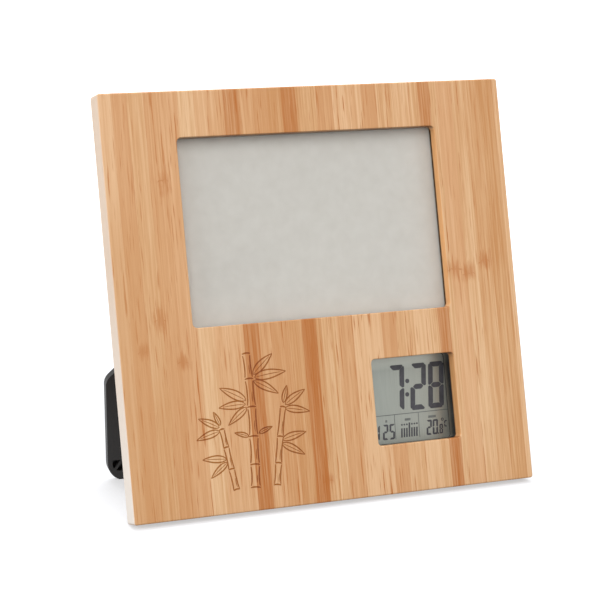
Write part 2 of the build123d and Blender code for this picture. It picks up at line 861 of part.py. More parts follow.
def hinge_pin_rod():
    """The hinge pin, with a flat head at each end."""
    ear_outer = leg_neck_width / 2 + bracket_ear_gap + bracket_ear_thick
    start = ear_outer + pin_seat_play
    rod = rod_x(-start, start, hinge_y, hinge_height, pin_radius)
    rod += rod_x(start, start + pin_head_thick, hinge_y, hinge_height, pin_head_radius)
    return rod + rod_x(-start - pin_head_thick, -start, hinge_y, hinge_height, pin_head_radius)


def bracket_screw(x, z):
    """A short pan-head screw that holds the bracket to the backing board."""
    return pan_screw(x, z, backing_back + bracket_thick, bracket_screw_head_radius,
                     bracket_screw_head_height, bracket_screw_radius,
                     bracket_screw_length + bracket_thick)


def fixed_pieces():
    """Every piece that stays with the board, by name."""
    pieces = {
        "front_board": board_with_openings(),
        "picture_pane": picture_sheet(picture_lip, pane_back, print_half_width, print_half_height),
        "picture_card": picture_sheet(pane_back, card_back, print_half_width, print_half_height),
        "backing_board": backing(),
        "turn_tab_screws": group(turn_tab_screw(side, z) for side in (-1, 1) for z in tab_heights),
        "clock_case": case_shell(),
        "case_board_screws": group(ear_screw(x, z) for x in (ear_left_x, ear_right_x)
                                   for z in ear_heights),
        "clock_cover": rear_cover(),
        "cover_screws": group(cover_screw(x, z) for x, z in boss_places),
        "display_gasket": gasket(),
        "display_panel": display(),
        "display_connector_low": connector(display_low + connector_inset),
        "display_connector_high": connector(display_high - connector_inset - connector_width),
        "circuit_board": circuit(),
        "clock_chip": chip_blob(),
        "quartz_crystal": crystal(),
        "alarm_sounder": sounder(),
        "temperature_sensor": sensor_bead(),
        "switch_domes": group(switch_dome(x) for x in button_xs),
        "cell_left": cell(cell_left_x, True),
        "cell_right": cell(cell_right_x, False),
        "cell_springs": group([cell_spring(cell_left_x, bay_low + contact_thick, True),
                               cell_spring(cell_right_x, bay_high - contact_thick - spring_length,
                                           False)]),
        "cell_link_plate": contact_plate((cell_left_x + cell_right_x) / 2, bay_low,
                                         cell_right_x - cell_left_x + contact_width),
        "cell_terminal_plates": group(contact_plate(x, bay_high - contact_thick, contact_width)
                                      for x in (cell_left_x, cell_right_x)),
        "lead_plus": lead(cell_left_x + contact_width / 2 - lead_plus_side_gap,
                          case_back - lead_plus_back_gap - lead_radius,
                          window_x - lead_landing * 3),
        "lead_minus": lead(cell_right_x + contact_width / 2 - lead_plus_side_gap,
                           case_back - lead_minus_back_gap - lead_radius,
                           window_x - lead_landing * 4),
        "hinge_bracket": bracket(),
        "hinge_pin": hinge_pin_rod(),
        "bracket_screws": group(bracket_screw(x, z) for x, z in bracket_screw_places()),
    }
    return pieces


def moving_pieces():
    """Turn tabs, buttons and battery door at rest, by name."""
    pieces = {}
    for side, side_name in ((-1, "left"), (1, "right")):
        for z, height_name in zip(tab_heights, tab_height_names):
            pieces[f"turn_tab_{side_name}_{height_name}"] = turn_tab(side, z)
    for name, x in zip(button_names, button_xs):
        pieces[name] = push_button(x)
    pieces["battery_door"] = door()
    return pieces


def on_table(shape):
    """Lean a piece back with the board and stand it on the table."""
    return Pos(0, -depth_middle, stand_drop) * Rot(-board_lean, 0, 0) * shape


def opened_leg():
    """The leg at its open stop, its foot trimmed level with the table."""
    about_hinge = Pos(0, hinge_y, hinge_height) * Rot(leg_open, 0, 0) * Pos(0, -hinge_y, -hinge_height)
    leg = on_table(about_hinge * folded_leg())
    reach = board_width + board_height
    under_table = Pos(0, 0, -reach / 2) * Box(reach, reach, reach)
    return leg - under_table


def main():
    """Build every piece and write one STEP file for each."""
    os.makedirs("parts", exist_ok=True)
    nodes = {name: on_table(shape) for name, shape in fixed_pieces().items()}
    nodes.update({name: on_table(shape) for name, shape in moving_pieces().items()})
    nodes["stand_leg"] = opened_leg()
    for name, shape in nodes.items():
        export_step(shape, os.path.join("parts", f"{name}.step"))
    print("nodes", len(nodes), "leg length", round(leg_length, 2))


main()
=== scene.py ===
"""Looks of the photo frame clock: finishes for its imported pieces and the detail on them.

Metres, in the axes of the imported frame. The board leans back, so what lies on
it is placed in the board's own plane: x across, y behind its front face, z up.
"""

import logging
import math
from dataclasses import dataclass, field
from enum import Enum
from functools import partialmethod
from typing import Callable, Iterable, Optional, Protocol, Sequence, Union

import bmesh
import bpy
from mathutils import Euler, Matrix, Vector


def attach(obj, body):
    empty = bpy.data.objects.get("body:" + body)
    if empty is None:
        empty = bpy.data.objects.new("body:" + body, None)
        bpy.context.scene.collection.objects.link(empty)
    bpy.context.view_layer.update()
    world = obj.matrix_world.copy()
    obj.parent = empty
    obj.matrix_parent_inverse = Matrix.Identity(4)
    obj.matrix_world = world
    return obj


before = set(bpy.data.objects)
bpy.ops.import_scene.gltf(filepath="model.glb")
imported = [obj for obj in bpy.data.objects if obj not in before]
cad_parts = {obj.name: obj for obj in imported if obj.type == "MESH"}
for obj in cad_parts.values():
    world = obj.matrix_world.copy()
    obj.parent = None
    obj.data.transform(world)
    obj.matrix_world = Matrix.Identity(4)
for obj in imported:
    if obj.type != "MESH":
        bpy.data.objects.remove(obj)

LOG = logging.getLogger("photo_frame_clock")
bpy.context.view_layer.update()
MM = 0.001
DIGIT_SLANT = 0.0875
WHITE = (1.0, 1.0, 1.0)

Colour = tuple[float, float, float]
Point = tuple[float, float]
Value = Union[float, int, tuple, bpy.types.NodeSocket, "Signal"]


def srgb(red: int, green: int, blue: int) -> Colour:
    """A screen colour, 0 to 255 a channel, as linear light."""
    def linear(channel: int) -> float:
        share = channel / 255
        return share / 12.92 if share <= 0.04045 else ((share + 0.055) / 1.055) ** 2.4
    return linear(red), linear(green), linear(blue)


class Body(Enum):
    """The moving bodies that pieces ride on."""

    BOARD = "board"
    DOOR = "door"


@dataclass(frozen=True)
class BoardPlane:
    """The board's own axes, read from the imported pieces.

    Attributes:
        origin: Middle of the front face's lower edge.
        lean: How far the board leans back, in radians.
    """

    origin: Vector
    lean: float

    @classmethod
    def from_frame(cls, sheet: str, board: str) -> "BoardPlane":
        """Reads the plane from a flat sheet and the board that holds it.

        Args:
            sheet: Name of a flat node that lies in the board's plane.
            board: Name of the board's node.

        Returns:
            The plane of the board's front face.
        """
        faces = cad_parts[sheet].data.polygons
        normal = max((face for face in faces if face.normal.y < 0), key=lambda face: face.area).normal
        lean = math.atan2(normal.z, -normal.y)
        plane = cls(Vector((0.0, 0.0, 0.0)), lean)
        points = [vertex.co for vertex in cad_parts[board].data.vertices]
        front = min(point.dot(plane.back) for point in points)
        low = min(point.dot(plane.up) for point in points)
        return cls(plane.back * front + plane.up * low, lean)

    @property
    def back(self) -> Vector:
        """Unit vector from the front face into the board."""
        return Vector((0.0, math.cos(self.lean), -math.sin(self.lean)))

    @property
    def up(self) -> Vector:
        """Unit vector up the board."""
        return Vector((0.0, math.sin(self.lean), math.cos(self.lean)))

    @property
    def offset(self) -> Vector:
        """The origin in axes that lean with the board about the frame's origin."""
        return Vector((0.0, self.origin.dot(self.back), self.origin.dot(self.up)))

    def point(self, x: float, y: float, z: float) -> Vector:
        """A place in the board's axes as a point of the frame."""
        return self.origin + Vector((x, 0.0, 0.0)) + self.back * y + self.up * z

    def flat_box(self, node: str) -> tuple[Vector, Vector]:
        """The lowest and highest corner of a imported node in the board's axes."""
        places = [vertex.co - self.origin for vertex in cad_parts[node].data.vertices]
        flat = [Vector((place.x, place.dot(self.back), place.dot(self.up))) for place in places]
        low = Vector([min(place[axis] for place in flat) for axis in range(3)])
        high = Vector([max(place[axis] for place in flat) for axis in range(3)])
        return low, high


class Signal:
    """A node's output. Sums and comparisons with it add nodes, so a finish reads as a formula."""

    def __init__(self, pen: "NodePen", socket: bpy.types.NodeSocket) -> None:
        """Keeps the socket and the pen of its tree."""
        self.pen = pen
        self.socket = socket

    def step(self, operation: str, other: Value = 0.0) -> "Signal":
        """One step of arithmetic with this as its first value."""
        return self.pen.math(operation, self, other)

    def __rsub__(self, other: Value) -> "Signal":
        """A plain value less this."""
        return self.pen.math("SUBTRACT", other, self)

    __add__ = partialmethod(step, "ADD")
    __sub__ = partialmethod(step, "SUBTRACT")
    __mul__ = partialmethod(step, "MULTIPLY")
    __truediv__ = partialmethod(step, "DIVIDE")
    __abs__ = partialmethod(step, "ABSOLUTE")
    __gt__ = partialmethod(step, "GREATER_THAN")
    __lt__ = partialmethod(step, "LESS_THAN")


class NodePen:
    """Adds nodes to one tree and joins them."""

    def __init__(self, tree: bpy.types.NodeTree) -> None:
        """Keeps the tree to draw in."""
        self.tree = tree

    def node(self, kind: str, inputs: Optional[dict] = None, **settings: object) -> bpy.types.Node:
        """Adds a node.

        Args:
            kind: Blender's name of the node type.
            inputs: Values by input name or number.
            settings: Properties of the node itself.

        Returns:
            The new node.
        """
        made = self.tree.nodes.new(kind)
        for name, value in settings.items():
            setattr(made, name, value)
        self.feed_all(made, inputs or {})
        return made

    def feed_all(self, node: bpy.types.Node, inputs: dict) -> None:
        """Feeds inputs of a node by name or number."""
        for key, value in inputs.items():
            self.feed(node.inputs[key], value)

    def read(self, kind: str, inputs: Optional[dict] = None, output: Union[int, str] = 0,
             **settings: object) -> Signal:
        """Adds a node and gives one of its outputs, by name or number."""
        return Signal(self, self.node(kind, inputs, **settings).outputs[output])

    def feed(self, socket: bpy.types.NodeSocket, value: Value) -> None:
        """Joins a socket to another, or sets its value."""
        if isinstance(value, Signal):
            value = value.socket
        if isinstance(value, bpy.types.NodeSocket):
            self.tree.links.new(value, socket)
        elif socket.type == "RGBA" and len(value) == 3:
            socket.default_value = (*value, 1.0)
        else:
            socket.default_value = value

    def math(self, operation: str, first: Value, second: Value = 0.0) -> Signal:
        """One step of arithmetic on values."""
        return self.read("ShaderNodeMath", {0: first, 1: second}, operation=operation)

    def most(self, first: Value, second: Value) -> Signal:
        """The greater of two values."""
        return self.math("MAXIMUM", first, second)

    def vector(self, operation: str, first: Value, second: Value) -> Signal:
        """One step of arithmetic on vectors."""
        return self.read("ShaderNodeVectorMath", {0: first, 1: second}, operation=operation)

    def joined(self, x: Value, y: Value, z: Value) -> Signal:
        """A vector made of three values."""
        return self.read("ShaderNodeCombineXYZ", {0: x, 1: y, 2: z})

    def split(self, value: Value, kind: str = "ShaderNodeSeparateXYZ") -> tuple[Signal, ...]:
        """The three parts of a vector or colour."""
        return tuple(Signal(self, socket) for socket in self.node(kind, {0: value}).outputs)

    def noise(self, vector: Value, scale: Value = 1.0, detail: float = 2.0, rough: float = 0.5) -> Signal:
        """Soft noise between 0 and 1 with its mean at a half."""
        return self.read("ShaderNodeTexNoise", {"Vector": vector, "Scale": scale, "Detail": detail,
                                                "Roughness": rough})

    def grain(self, vector: Value, factors: tuple[float, float, float], detail: float = 2.0,
              rough: float = 0.5) -> Signal:
        """Noise with a scale of its own along each axis."""
        return self.noise(self.vector("MULTIPLY", vector, factors), 1.0, detail, rough)

    def span(self, value: Value, low: Value, high: Value, to_low: Value = 0.0,
             to_high: Value = 1.0) -> Signal:
        """A value carried from one range to another, held at the ends."""
        return self.read("ShaderNodeMapRange", {0: value, 1: low, 2: high, 3: to_low, 4: to_high})

    def blend(self, share: Value, first: Value, second: Value, mode: str = "MIX") -> Signal:
        """Two colours blended by a share."""
        return self.read("ShaderNodeMix", {0: share, 6: first, 7: second}, 2, data_type="RGBA",
                         blend_type=mode)

    def bump(self, height: Value, distance: float, strength: float = 1.0) -> Signal:
        """A normal bent by a height."""
        return self.read("ShaderNodeBump", {"Height": height, "Distance": distance, "Strength": strength})

    def seen(self) -> Signal:
        """One where the camera looks at a surface straight, by a mirror or through glass."""
        path = self.node("ShaderNodeLightPath").outputs
        return self.most(path["Is Camera Ray"], self.most(path["Is Glossy Ray"], path["Is Transmission Ray"]))


Sockets = dict[str, Signal]


class Effect:
    """A node group with named inputs and outputs that several finishes share."""

    def __init__(self, name: str, draw: Callable[[NodePen, Sockets], Sockets], inputs: dict[str, str],
                 outputs: dict[str, str]) -> None:
        """Builds the group once.

        Args:
            name: Name of the group.
            draw: Draws the inside: takes the pen and the inputs, gives the outputs.
            inputs: Kind of socket by input name.
            outputs: Kind of socket by output name.
        """
        self.tree = bpy.data.node_groups.new(name, "ShaderNodeTree")
        for way, sockets in (("INPUT", inputs), ("OUTPUT", outputs)):
            for label, kind in sockets.items():
                self.tree.interface.new_socket(name=label, in_out=way, socket_type=f"NodeSocket{kind}")
        pen = NodePen(self.tree)
        entry = pen.node("NodeGroupInput")
        leave = pen.node("NodeGroupOutput")
        given = {label: Signal(pen, entry.outputs[label]) for label in inputs}
        for label, signal in draw(pen, given).items():
            pen.feed(leave.inputs[label], signal)

    def place(self, pen: NodePen, **values: Value) -> Sockets:
        """Places the group in a finish.

        Args:
            pen: Pen of the finish's own tree.
            values: Values by input name, with _ for a space.

        Returns:
            The outputs by name.
        """
        inputs = {label.replace("_", " "): value for label, value in values.items()}
        made = pen.node("ShaderNodeGroup", inputs, node_tree=self.tree)
        return {socket.name: Signal(pen, socket) for socket in made.outputs}


def draw_bamboo(pen: NodePen, given: Sockets) -> Sockets:
    """Side-pressed bamboo: strips of varying tone with fibres, dashes and seams."""
    places = given["Vector"]
    across, deep, along = pen.split(places)
    sway = pen.grain(places, (35.0, 35.0, 9.0)) * 0.0016 - 0.0008
    strips = {"W": (across + sway) / given["Strip Width"], "Scale": 1.0, "Randomness": 0.45}
    strip = pen.read("ShaderNodeTexVoronoi", strips, "Color", voronoi_dimensions="1D")
    tone, rank, drift = pen.split(strip, "ShaderNodeSeparateColor")
    from_seam = pen.read("ShaderNodeTexVoronoi", strips, voronoi_dimensions="1D", feature="DISTANCE_TO_EDGE")
    seam = pen.span(from_seam, 0.0, 0.028, 1.0, 0.0)

    # Butt joints: a few strips change tone across a fine line
    joint_place = tone * 0.19
    jointed = rank > 0.84
    joint = pen.span(abs(along - joint_place), 0.0, 0.00028, 1.0, 0.0) * jointed
    past = (along > joint_place) * jointed

    # Fibres, drawn out along the strip and shifted from strip to strip
    shifted = pen.joined(across, deep, drift * 3.0 + along)
    streak = pen.grain(shifted, (640.0, 640.0, 8.0), 3.0, 0.6)
    fibre = pen.grain(shifted, (1300.0, 1300.0, 24.0), 3.0, 0.65)
    dash = pen.span(pen.grain(shifted, (1150.0, 1150.0, 46.0)), 0.6, 0.7)
    cloud = pen.grain(places, (14.0, 14.0, 7.0), 1.0)
    level = (tone - 0.5) * given["Tone Spread"] + 0.5 + (streak - 0.5) * given["Streak"]
    level = level + (fibre - 0.5) * given["Fibre"] + past * 0.2 + (cloud - 0.5) * 0.7
    colour = pen.blend(pen.span(level, 0.0, 0.5), given["Dark"], given["Middle"])
    colour = pen.blend(pen.span(level, 0.5, 1.0), colour, given["Light"])
    colour = pen.blend(rank * 0.5, colour, given["Warm"])
    for share in (given["Brown"] * pen.span(fibre, 0.3, 0.7, 1.0, 0.5),
                  dash * (drift * 0.55 + 0.25) * given["Dash"], joint * 0.6, seam * 0.22):
        colour = pen.blend(share, colour, given["Deep"])
    height = fibre * 0.4 + streak * 0.2 - dash * 0.3 - seam * 0.3 - joint * 0.6
    return {"Color": colour, "Height": height, "Dullness": (0.5 - fibre) * 0.22 + dash * 0.08}


def draw_knuckle(pen: NodePen, given: Sockets) -> Sockets:
    """A bamboo knuckle in one strip: a ragged brown patch with a fine bent line."""
    across, _, along = pen.split(pen.vector("SUBTRACT", given["Vector"], given["Middle"]))
    ragged = pen.grain(given["Vector"], (1100.0, 1100.0, 75.0), 3.0, 0.65) - 0.5
    coarse = pen.grain(given["Vector"], (420.0, 420.0, 120.0)) - 0.5
    x = across / given["Half Width"]
    z = along / given["Half Height"]
    patch = pen.span(pen.math("SQRT", x * x + z * z) + ragged * 3.4 + coarse * 1.4, 0.2, 1.2, 1.0, 0.0)
    line = pen.span(abs(x * x * 0.0011 + along + coarse * 0.0035), 0.0001, 0.0007, 1.0, 0.0)
    inside = pen.span(abs(x), 0.75, 1.0, 1.0, 0.0)
    return {"Mask": pen.most(patch, line * inside) * 0.6}


def draw_spark(pen: NodePen, given: Sockets) -> Sockets:
    """The fine pitted grain that a spark-eroded mould leaves."""
    fine = pen.noise(pen.read("ShaderNodeVectorMath", {0: given["Vector"], "Scale": given["Pits"]},
                              operation="SCALE"), 1.0, 4.0, 0.65)
    coarse = pen.noise(given["Vector"], 60.0)
    return {"Height": pen.span(fine, 0.3, 0.7),
            "Dullness": (fine - 0.5) * given["Spread"] + (coarse - 0.5) * 0.12}


def draw_rub(pen: NodePen, given: Sockets) -> Sockets:
    """Marks of handling: a soft cloud and a few fine scratches."""
    cloud = pen.noise(given["Vector"], given["Cloud Scale"], 3.0, 0.6)
    swirl = pen.noise(given["Vector"], 90.0, 1.0)
    swirled = pen.vector("ADD", given["Vector"], pen.joined(swirl, 0.0, swirl))
    lines = pen.grain(swirled, (2400.0, 90.0, 130.0))
    return {"Mask": pen.span(cloud, 0.35, 0.75) * given["Amount"],
            "Scratch": pen.span(lines, 0.68, 0.74) * given["Amount"]}


def draw_flecks(pen: NodePen, given: Sockets) -> Sockets:
    """Pressed fibres: short flecks over a cloudy ground."""
    warp = pen.noise(given["Vector"], given["Size"], 3.0)
    warped = pen.vector("ADD", given["Vector"], pen.joined(warp, warp, warp))
    distance = pen.read("ShaderNodeTexVoronoi", {"Vector": warped, "Scale": given["Size"]}, "Distance")
    fleck = pen.span(distance, 0.08, 0.3, 1.0, 0.0)
    ground = pen.noise(given["Vector"], 130.0, 4.0, 0.6)
    grain = pen.noise(given["Vector"], 3200.0)
    colour = pen.blend((fleck + grain - 0.5) * given["Amount"], given["Ground"], given["Fleck"])
    colour = pen.blend(pen.span(ground, 0.32, 0.68) * 0.35, colour, given["Cloud"])
    return {"Color": colour, "Height": grain + fleck * 0.4}


class Effects:
    """The shared node groups, each built once."""

    def __init__(self) -> None:
        """Builds every group."""
        surface = {"Color": "Color", "Height": "Float", "Dullness": "Float"}
        self.bamboo = Effect(
            "laminated_bamboo", draw_bamboo,
            {"Vector": "Vector", "Strip Width": "Float", "Tone Spread": "Float", "Streak": "Float",
             "Fibre": "Float", "Dash": "Float", "Brown": "Float", "Dark": "Color", "Middle": "Color",
             "Light": "Color", "Warm": "Color", "Deep": "Color"}, surface)
        self.knuckle = Effect(
            "bamboo_knuckle", draw_knuckle,
            {"Vector": "Vector", "Middle": "Vector", "Half Width": "Float", "Half Height": "Float"},
            {"Mask": "Float"})
        self.spark = Effect(
            "spark_grain", draw_spark, {"Vector": "Vector", "Pits": "Float", "Spread": "Float"},
            {"Height": "Float", "Dullness": "Float"})
        self.rub = Effect(
            "handling_marks", draw_rub, {"Vector": "Vector", "Cloud Scale": "Float", "Amount": "Float"},
            {"Mask": "Float", "Scratch": "Float"})
        self.flecks = Effect(
            "pressed_fibres", draw_flecks,
            {"Vector": "Vector", "Size": "Float", "Amount": "Float", "Ground": "Color", "Fleck": "Color",
             "Cloud": "Color"},
            {"Color": "Color", "Height": "Float"})


@dataclass(frozen=True)
class Draft:
    """A material that is being made.

    Attributes:
        places: Places in axes that lean with the board, in metres.
    """

    plane: BoardPlane
    material: bpy.types.Material
    pen: NodePen
    shader: bpy.types.Node
    places: Signal

    def parts(self) -> tuple[Signal, ...]:
        """Places in the board's own axes: across, behind the front face, above the lower edge."""
        return self.pen.split(self.pen.vector("SUBTRACT", self.places, tuple(self.plane.offset)))

    def lay(self, effect: Effect, **values: Value) -> Sockets:
        """Places an effect over the board's places."""
        return effect.place(self.pen, Vector=self.places, **values)

    def finish(self, colour: Value, roughness: Value, normal: Optional[Value] = None,
               **others: Value) -> bpy.types.Material:
        """Feeds the shader.

        Args:
            colour: Base colour.
            roughness: Roughness.
            normal: Bent normal, if any.
            others: Values by the shader's other inputs, with _ for a space.

        Returns:
            The finished material.
        """
        inputs = {"Base Color": colour, "Roughness": roughness}
        if normal is not None:
            inputs["Normal"] = normal
        inputs.update({label.replace("_", " "): value for label, value in others.items()})
        self.pen.feed_all(self.shader, inputs)
        return self.material


def blank_material(name: str) -> tuple[bpy.types.Material, NodePen, bpy.types.Node]:
    """A new material with its pen and its Principled shader."""
    material = bpy.data.materials.new(name)
    material.use_nodes = True
    material.node_tree.nodes.clear()
    pen = NodePen(material.node_tree)
    shader = pen.node("ShaderNodeBsdfPrincipled")
    pen.node("ShaderNodeOutputMaterial", {"Surface": shader.outputs[0]})
    return material, pen, shader


@dataclass
class PlateStack:
    """Thin closed plates that lie in the board's plane, gathered into one mesh.

    Outlines are given in millimetres of the board's plane. Each plate stands
    a hair prouder than the one before, so that crossing plates don't share a face.

    Attributes:
        front: Depth of the plates' outer face behind the board's front, in metres.
        rear: Depth of their inner face, in metres.
        step: How much prouder each next plate stands, in metres.
        cycle: Number of plates after which the steps begin again.
        count: Number of plates so far.
    """

    plane: BoardPlane
    front: float
    rear: float
    step: float = 0.0
    cycle: int = 8
    count: int = 0
    vertices: list[Vector] = field(default_factory=list)
    faces: list[tuple[int, ...]] = field(default_factory=list)

    def depths(self) -> tuple[float, float]:
        """Outer and inner depth of the next plate."""
        outward = -1.0 if self.front < self.rear else 1.0
        self.count += 1
        return self.front + outward * self.step * (self.count % self.cycle), self.rear

    def plate(self, outline: Sequence[Point]) -> None:
        """Adds a plate with a closed outline."""
        start = len(self.vertices)
        size = len(outline)
        for depth in self.depths():
            self.vertices.extend(self.plane.point(x * MM, depth, z * MM) for x, z in outline)
        self.faces.append(tuple(range(start, start + size)))
        self.faces.append(tuple(range(start + 2 * size - 1, start + size - 1, -1)))
        for corner in range(size):
            after = (corner + 1) % size
            self.faces.append((start + corner, start + after, start + size + after, start + size + corner))

    def ribbon(self, line: Sequence[Point], width: float, taper: float = 1.0,
               closed: bool = False) -> None:
        """Adds a ribbon along a line.

        Args:
            line: Points of the line's middle.
            width: Width of the ribbon.
            taper: Share of the width that is left at the ends of an open line.
            closed: Whether the last point joins the first.
        """
        size = len(line)
        start = len(self.vertices)
        depths = self.depths()
        for place, (x, z) in enumerate(line):
            before = line[(place - 1) % size] if closed or place > 0 else line[place]
            after = line[(place + 1) % size] if closed or place < size - 1 else line[place]
            run = math.hypot(after[0] - before[0], after[1] - before[1]) or 1.0
            aside = ((before[1] - after[1]) / run, (after[0] - before[0]) / run)
            share = 1.0
            if not closed:
                share = taper + (1.0 - taper) * math.sin(math.pi * place / (size - 1)) ** 0.6
            half = width * share / 2
            for depth in depths:
                for side in (half, -half):
                    self.vertices.append(self.plane.point((x + aside[0] * side) * MM, depth,
                                                          (z + aside[1] * side) * MM))
        for place in range(size if closed else size - 1):
            here = start + place * 4
            there = start + ((place + 1) % size) * 4
            for first, second in ((0, 1), (1, 3), (3, 2), (2, 0)):
                self.faces.append((here + first, here + second, there + second, there + first))
        if not closed:
            last = start + (size - 1) * 4
            self.faces.append((start, start + 2, start + 3, start + 1))
            self.faces.append((last, last + 1, last + 3, last + 2))

    @staticmethod
    def circle(x: float, z: float, radius: float, sides: int) -> list[Point]:
        """Points round a circle."""
        turns = [2 * math.pi * number / sides for number in range(sides)]
        return [(x + radius * math.cos(turn), z + radius * math.sin(turn)) for turn in turns]

    def disc(self, x: float, z: float, radius: float, sides: int = 28) -> None:
        """Adds a round plate."""
        self.plate(self.circle(x, z, radius, sides))

    def ring(self, x: float, z: float, radius: float, width: float, sides: int = 40) -> None:
        """Adds a round ribbon."""
        self.ribbon(self.circle(x, z, radius, sides), width, closed=True)

    def bar(self, left: float, low: float, right: float, high: float, lean: float = 0.0) -> None:
        """Adds a rectangular plate, its top moved over by lean."""
        self.plate([(left, low), (right, low), (right + lean, high), (left + lean, high)])


@dataclass
class Workshop:
    """What every finish and piece needs: the board's plane and the shared effects."""

    plane: BoardPlane
    effects: Effects

    def start(self, name: str) -> Draft:
        """Starts a material of that name."""
        material, pen, shader = blank_material(name)
        return Draft(self.plane, material, pen, shader, self.leaning(pen, "Object"))

    def leaning(self, pen: NodePen, kind: str) -> Signal:
        """One of the object's own coordinates in axes that lean with the board."""
        return pen.read("ShaderNodeMapping", {"Vector": pen.read("ShaderNodeTexCoord", output=kind),
                                              "Rotation": (self.plane.lean, 0.0, 0.0)})

    def new_piece(self, name: str, plates: PlateStack, material: bpy.types.Material, body: str,
                  slot: str) -> None:
        """Makes a mesh piece that rides on a body.

        Args:
            name: Name of the piece.
            plates: Its shape.
            material: Its finish.
            body: Name of the body that it moves with.
            slot: Not used.
        """
        mesh = bpy.data.meshes.new(name)
        mesh.from_pydata([tuple(vertex) for vertex in plates.vertices], [], plates.faces)
        shape = bmesh.new()
        shape.from_mesh(mesh)
        bmesh.ops.recalc_face_normals(shape, faces=shape.faces)
        shape.to_mesh(mesh)
        shape.free()
        mesh.materials.append(material)
        piece = bpy.data.objects.new(name, mesh)
        bpy.context.scene.collection.objects.link(piece)
        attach(piece, body)
        LOG.info("piece %s on %s, %d faces", name, body, len(mesh.polygons))


class Finish(Protocol):
    """Anything that makes a material."""

    def build(self, shop: Workshop) -> bpy.types.Material:
        """Makes the material."""


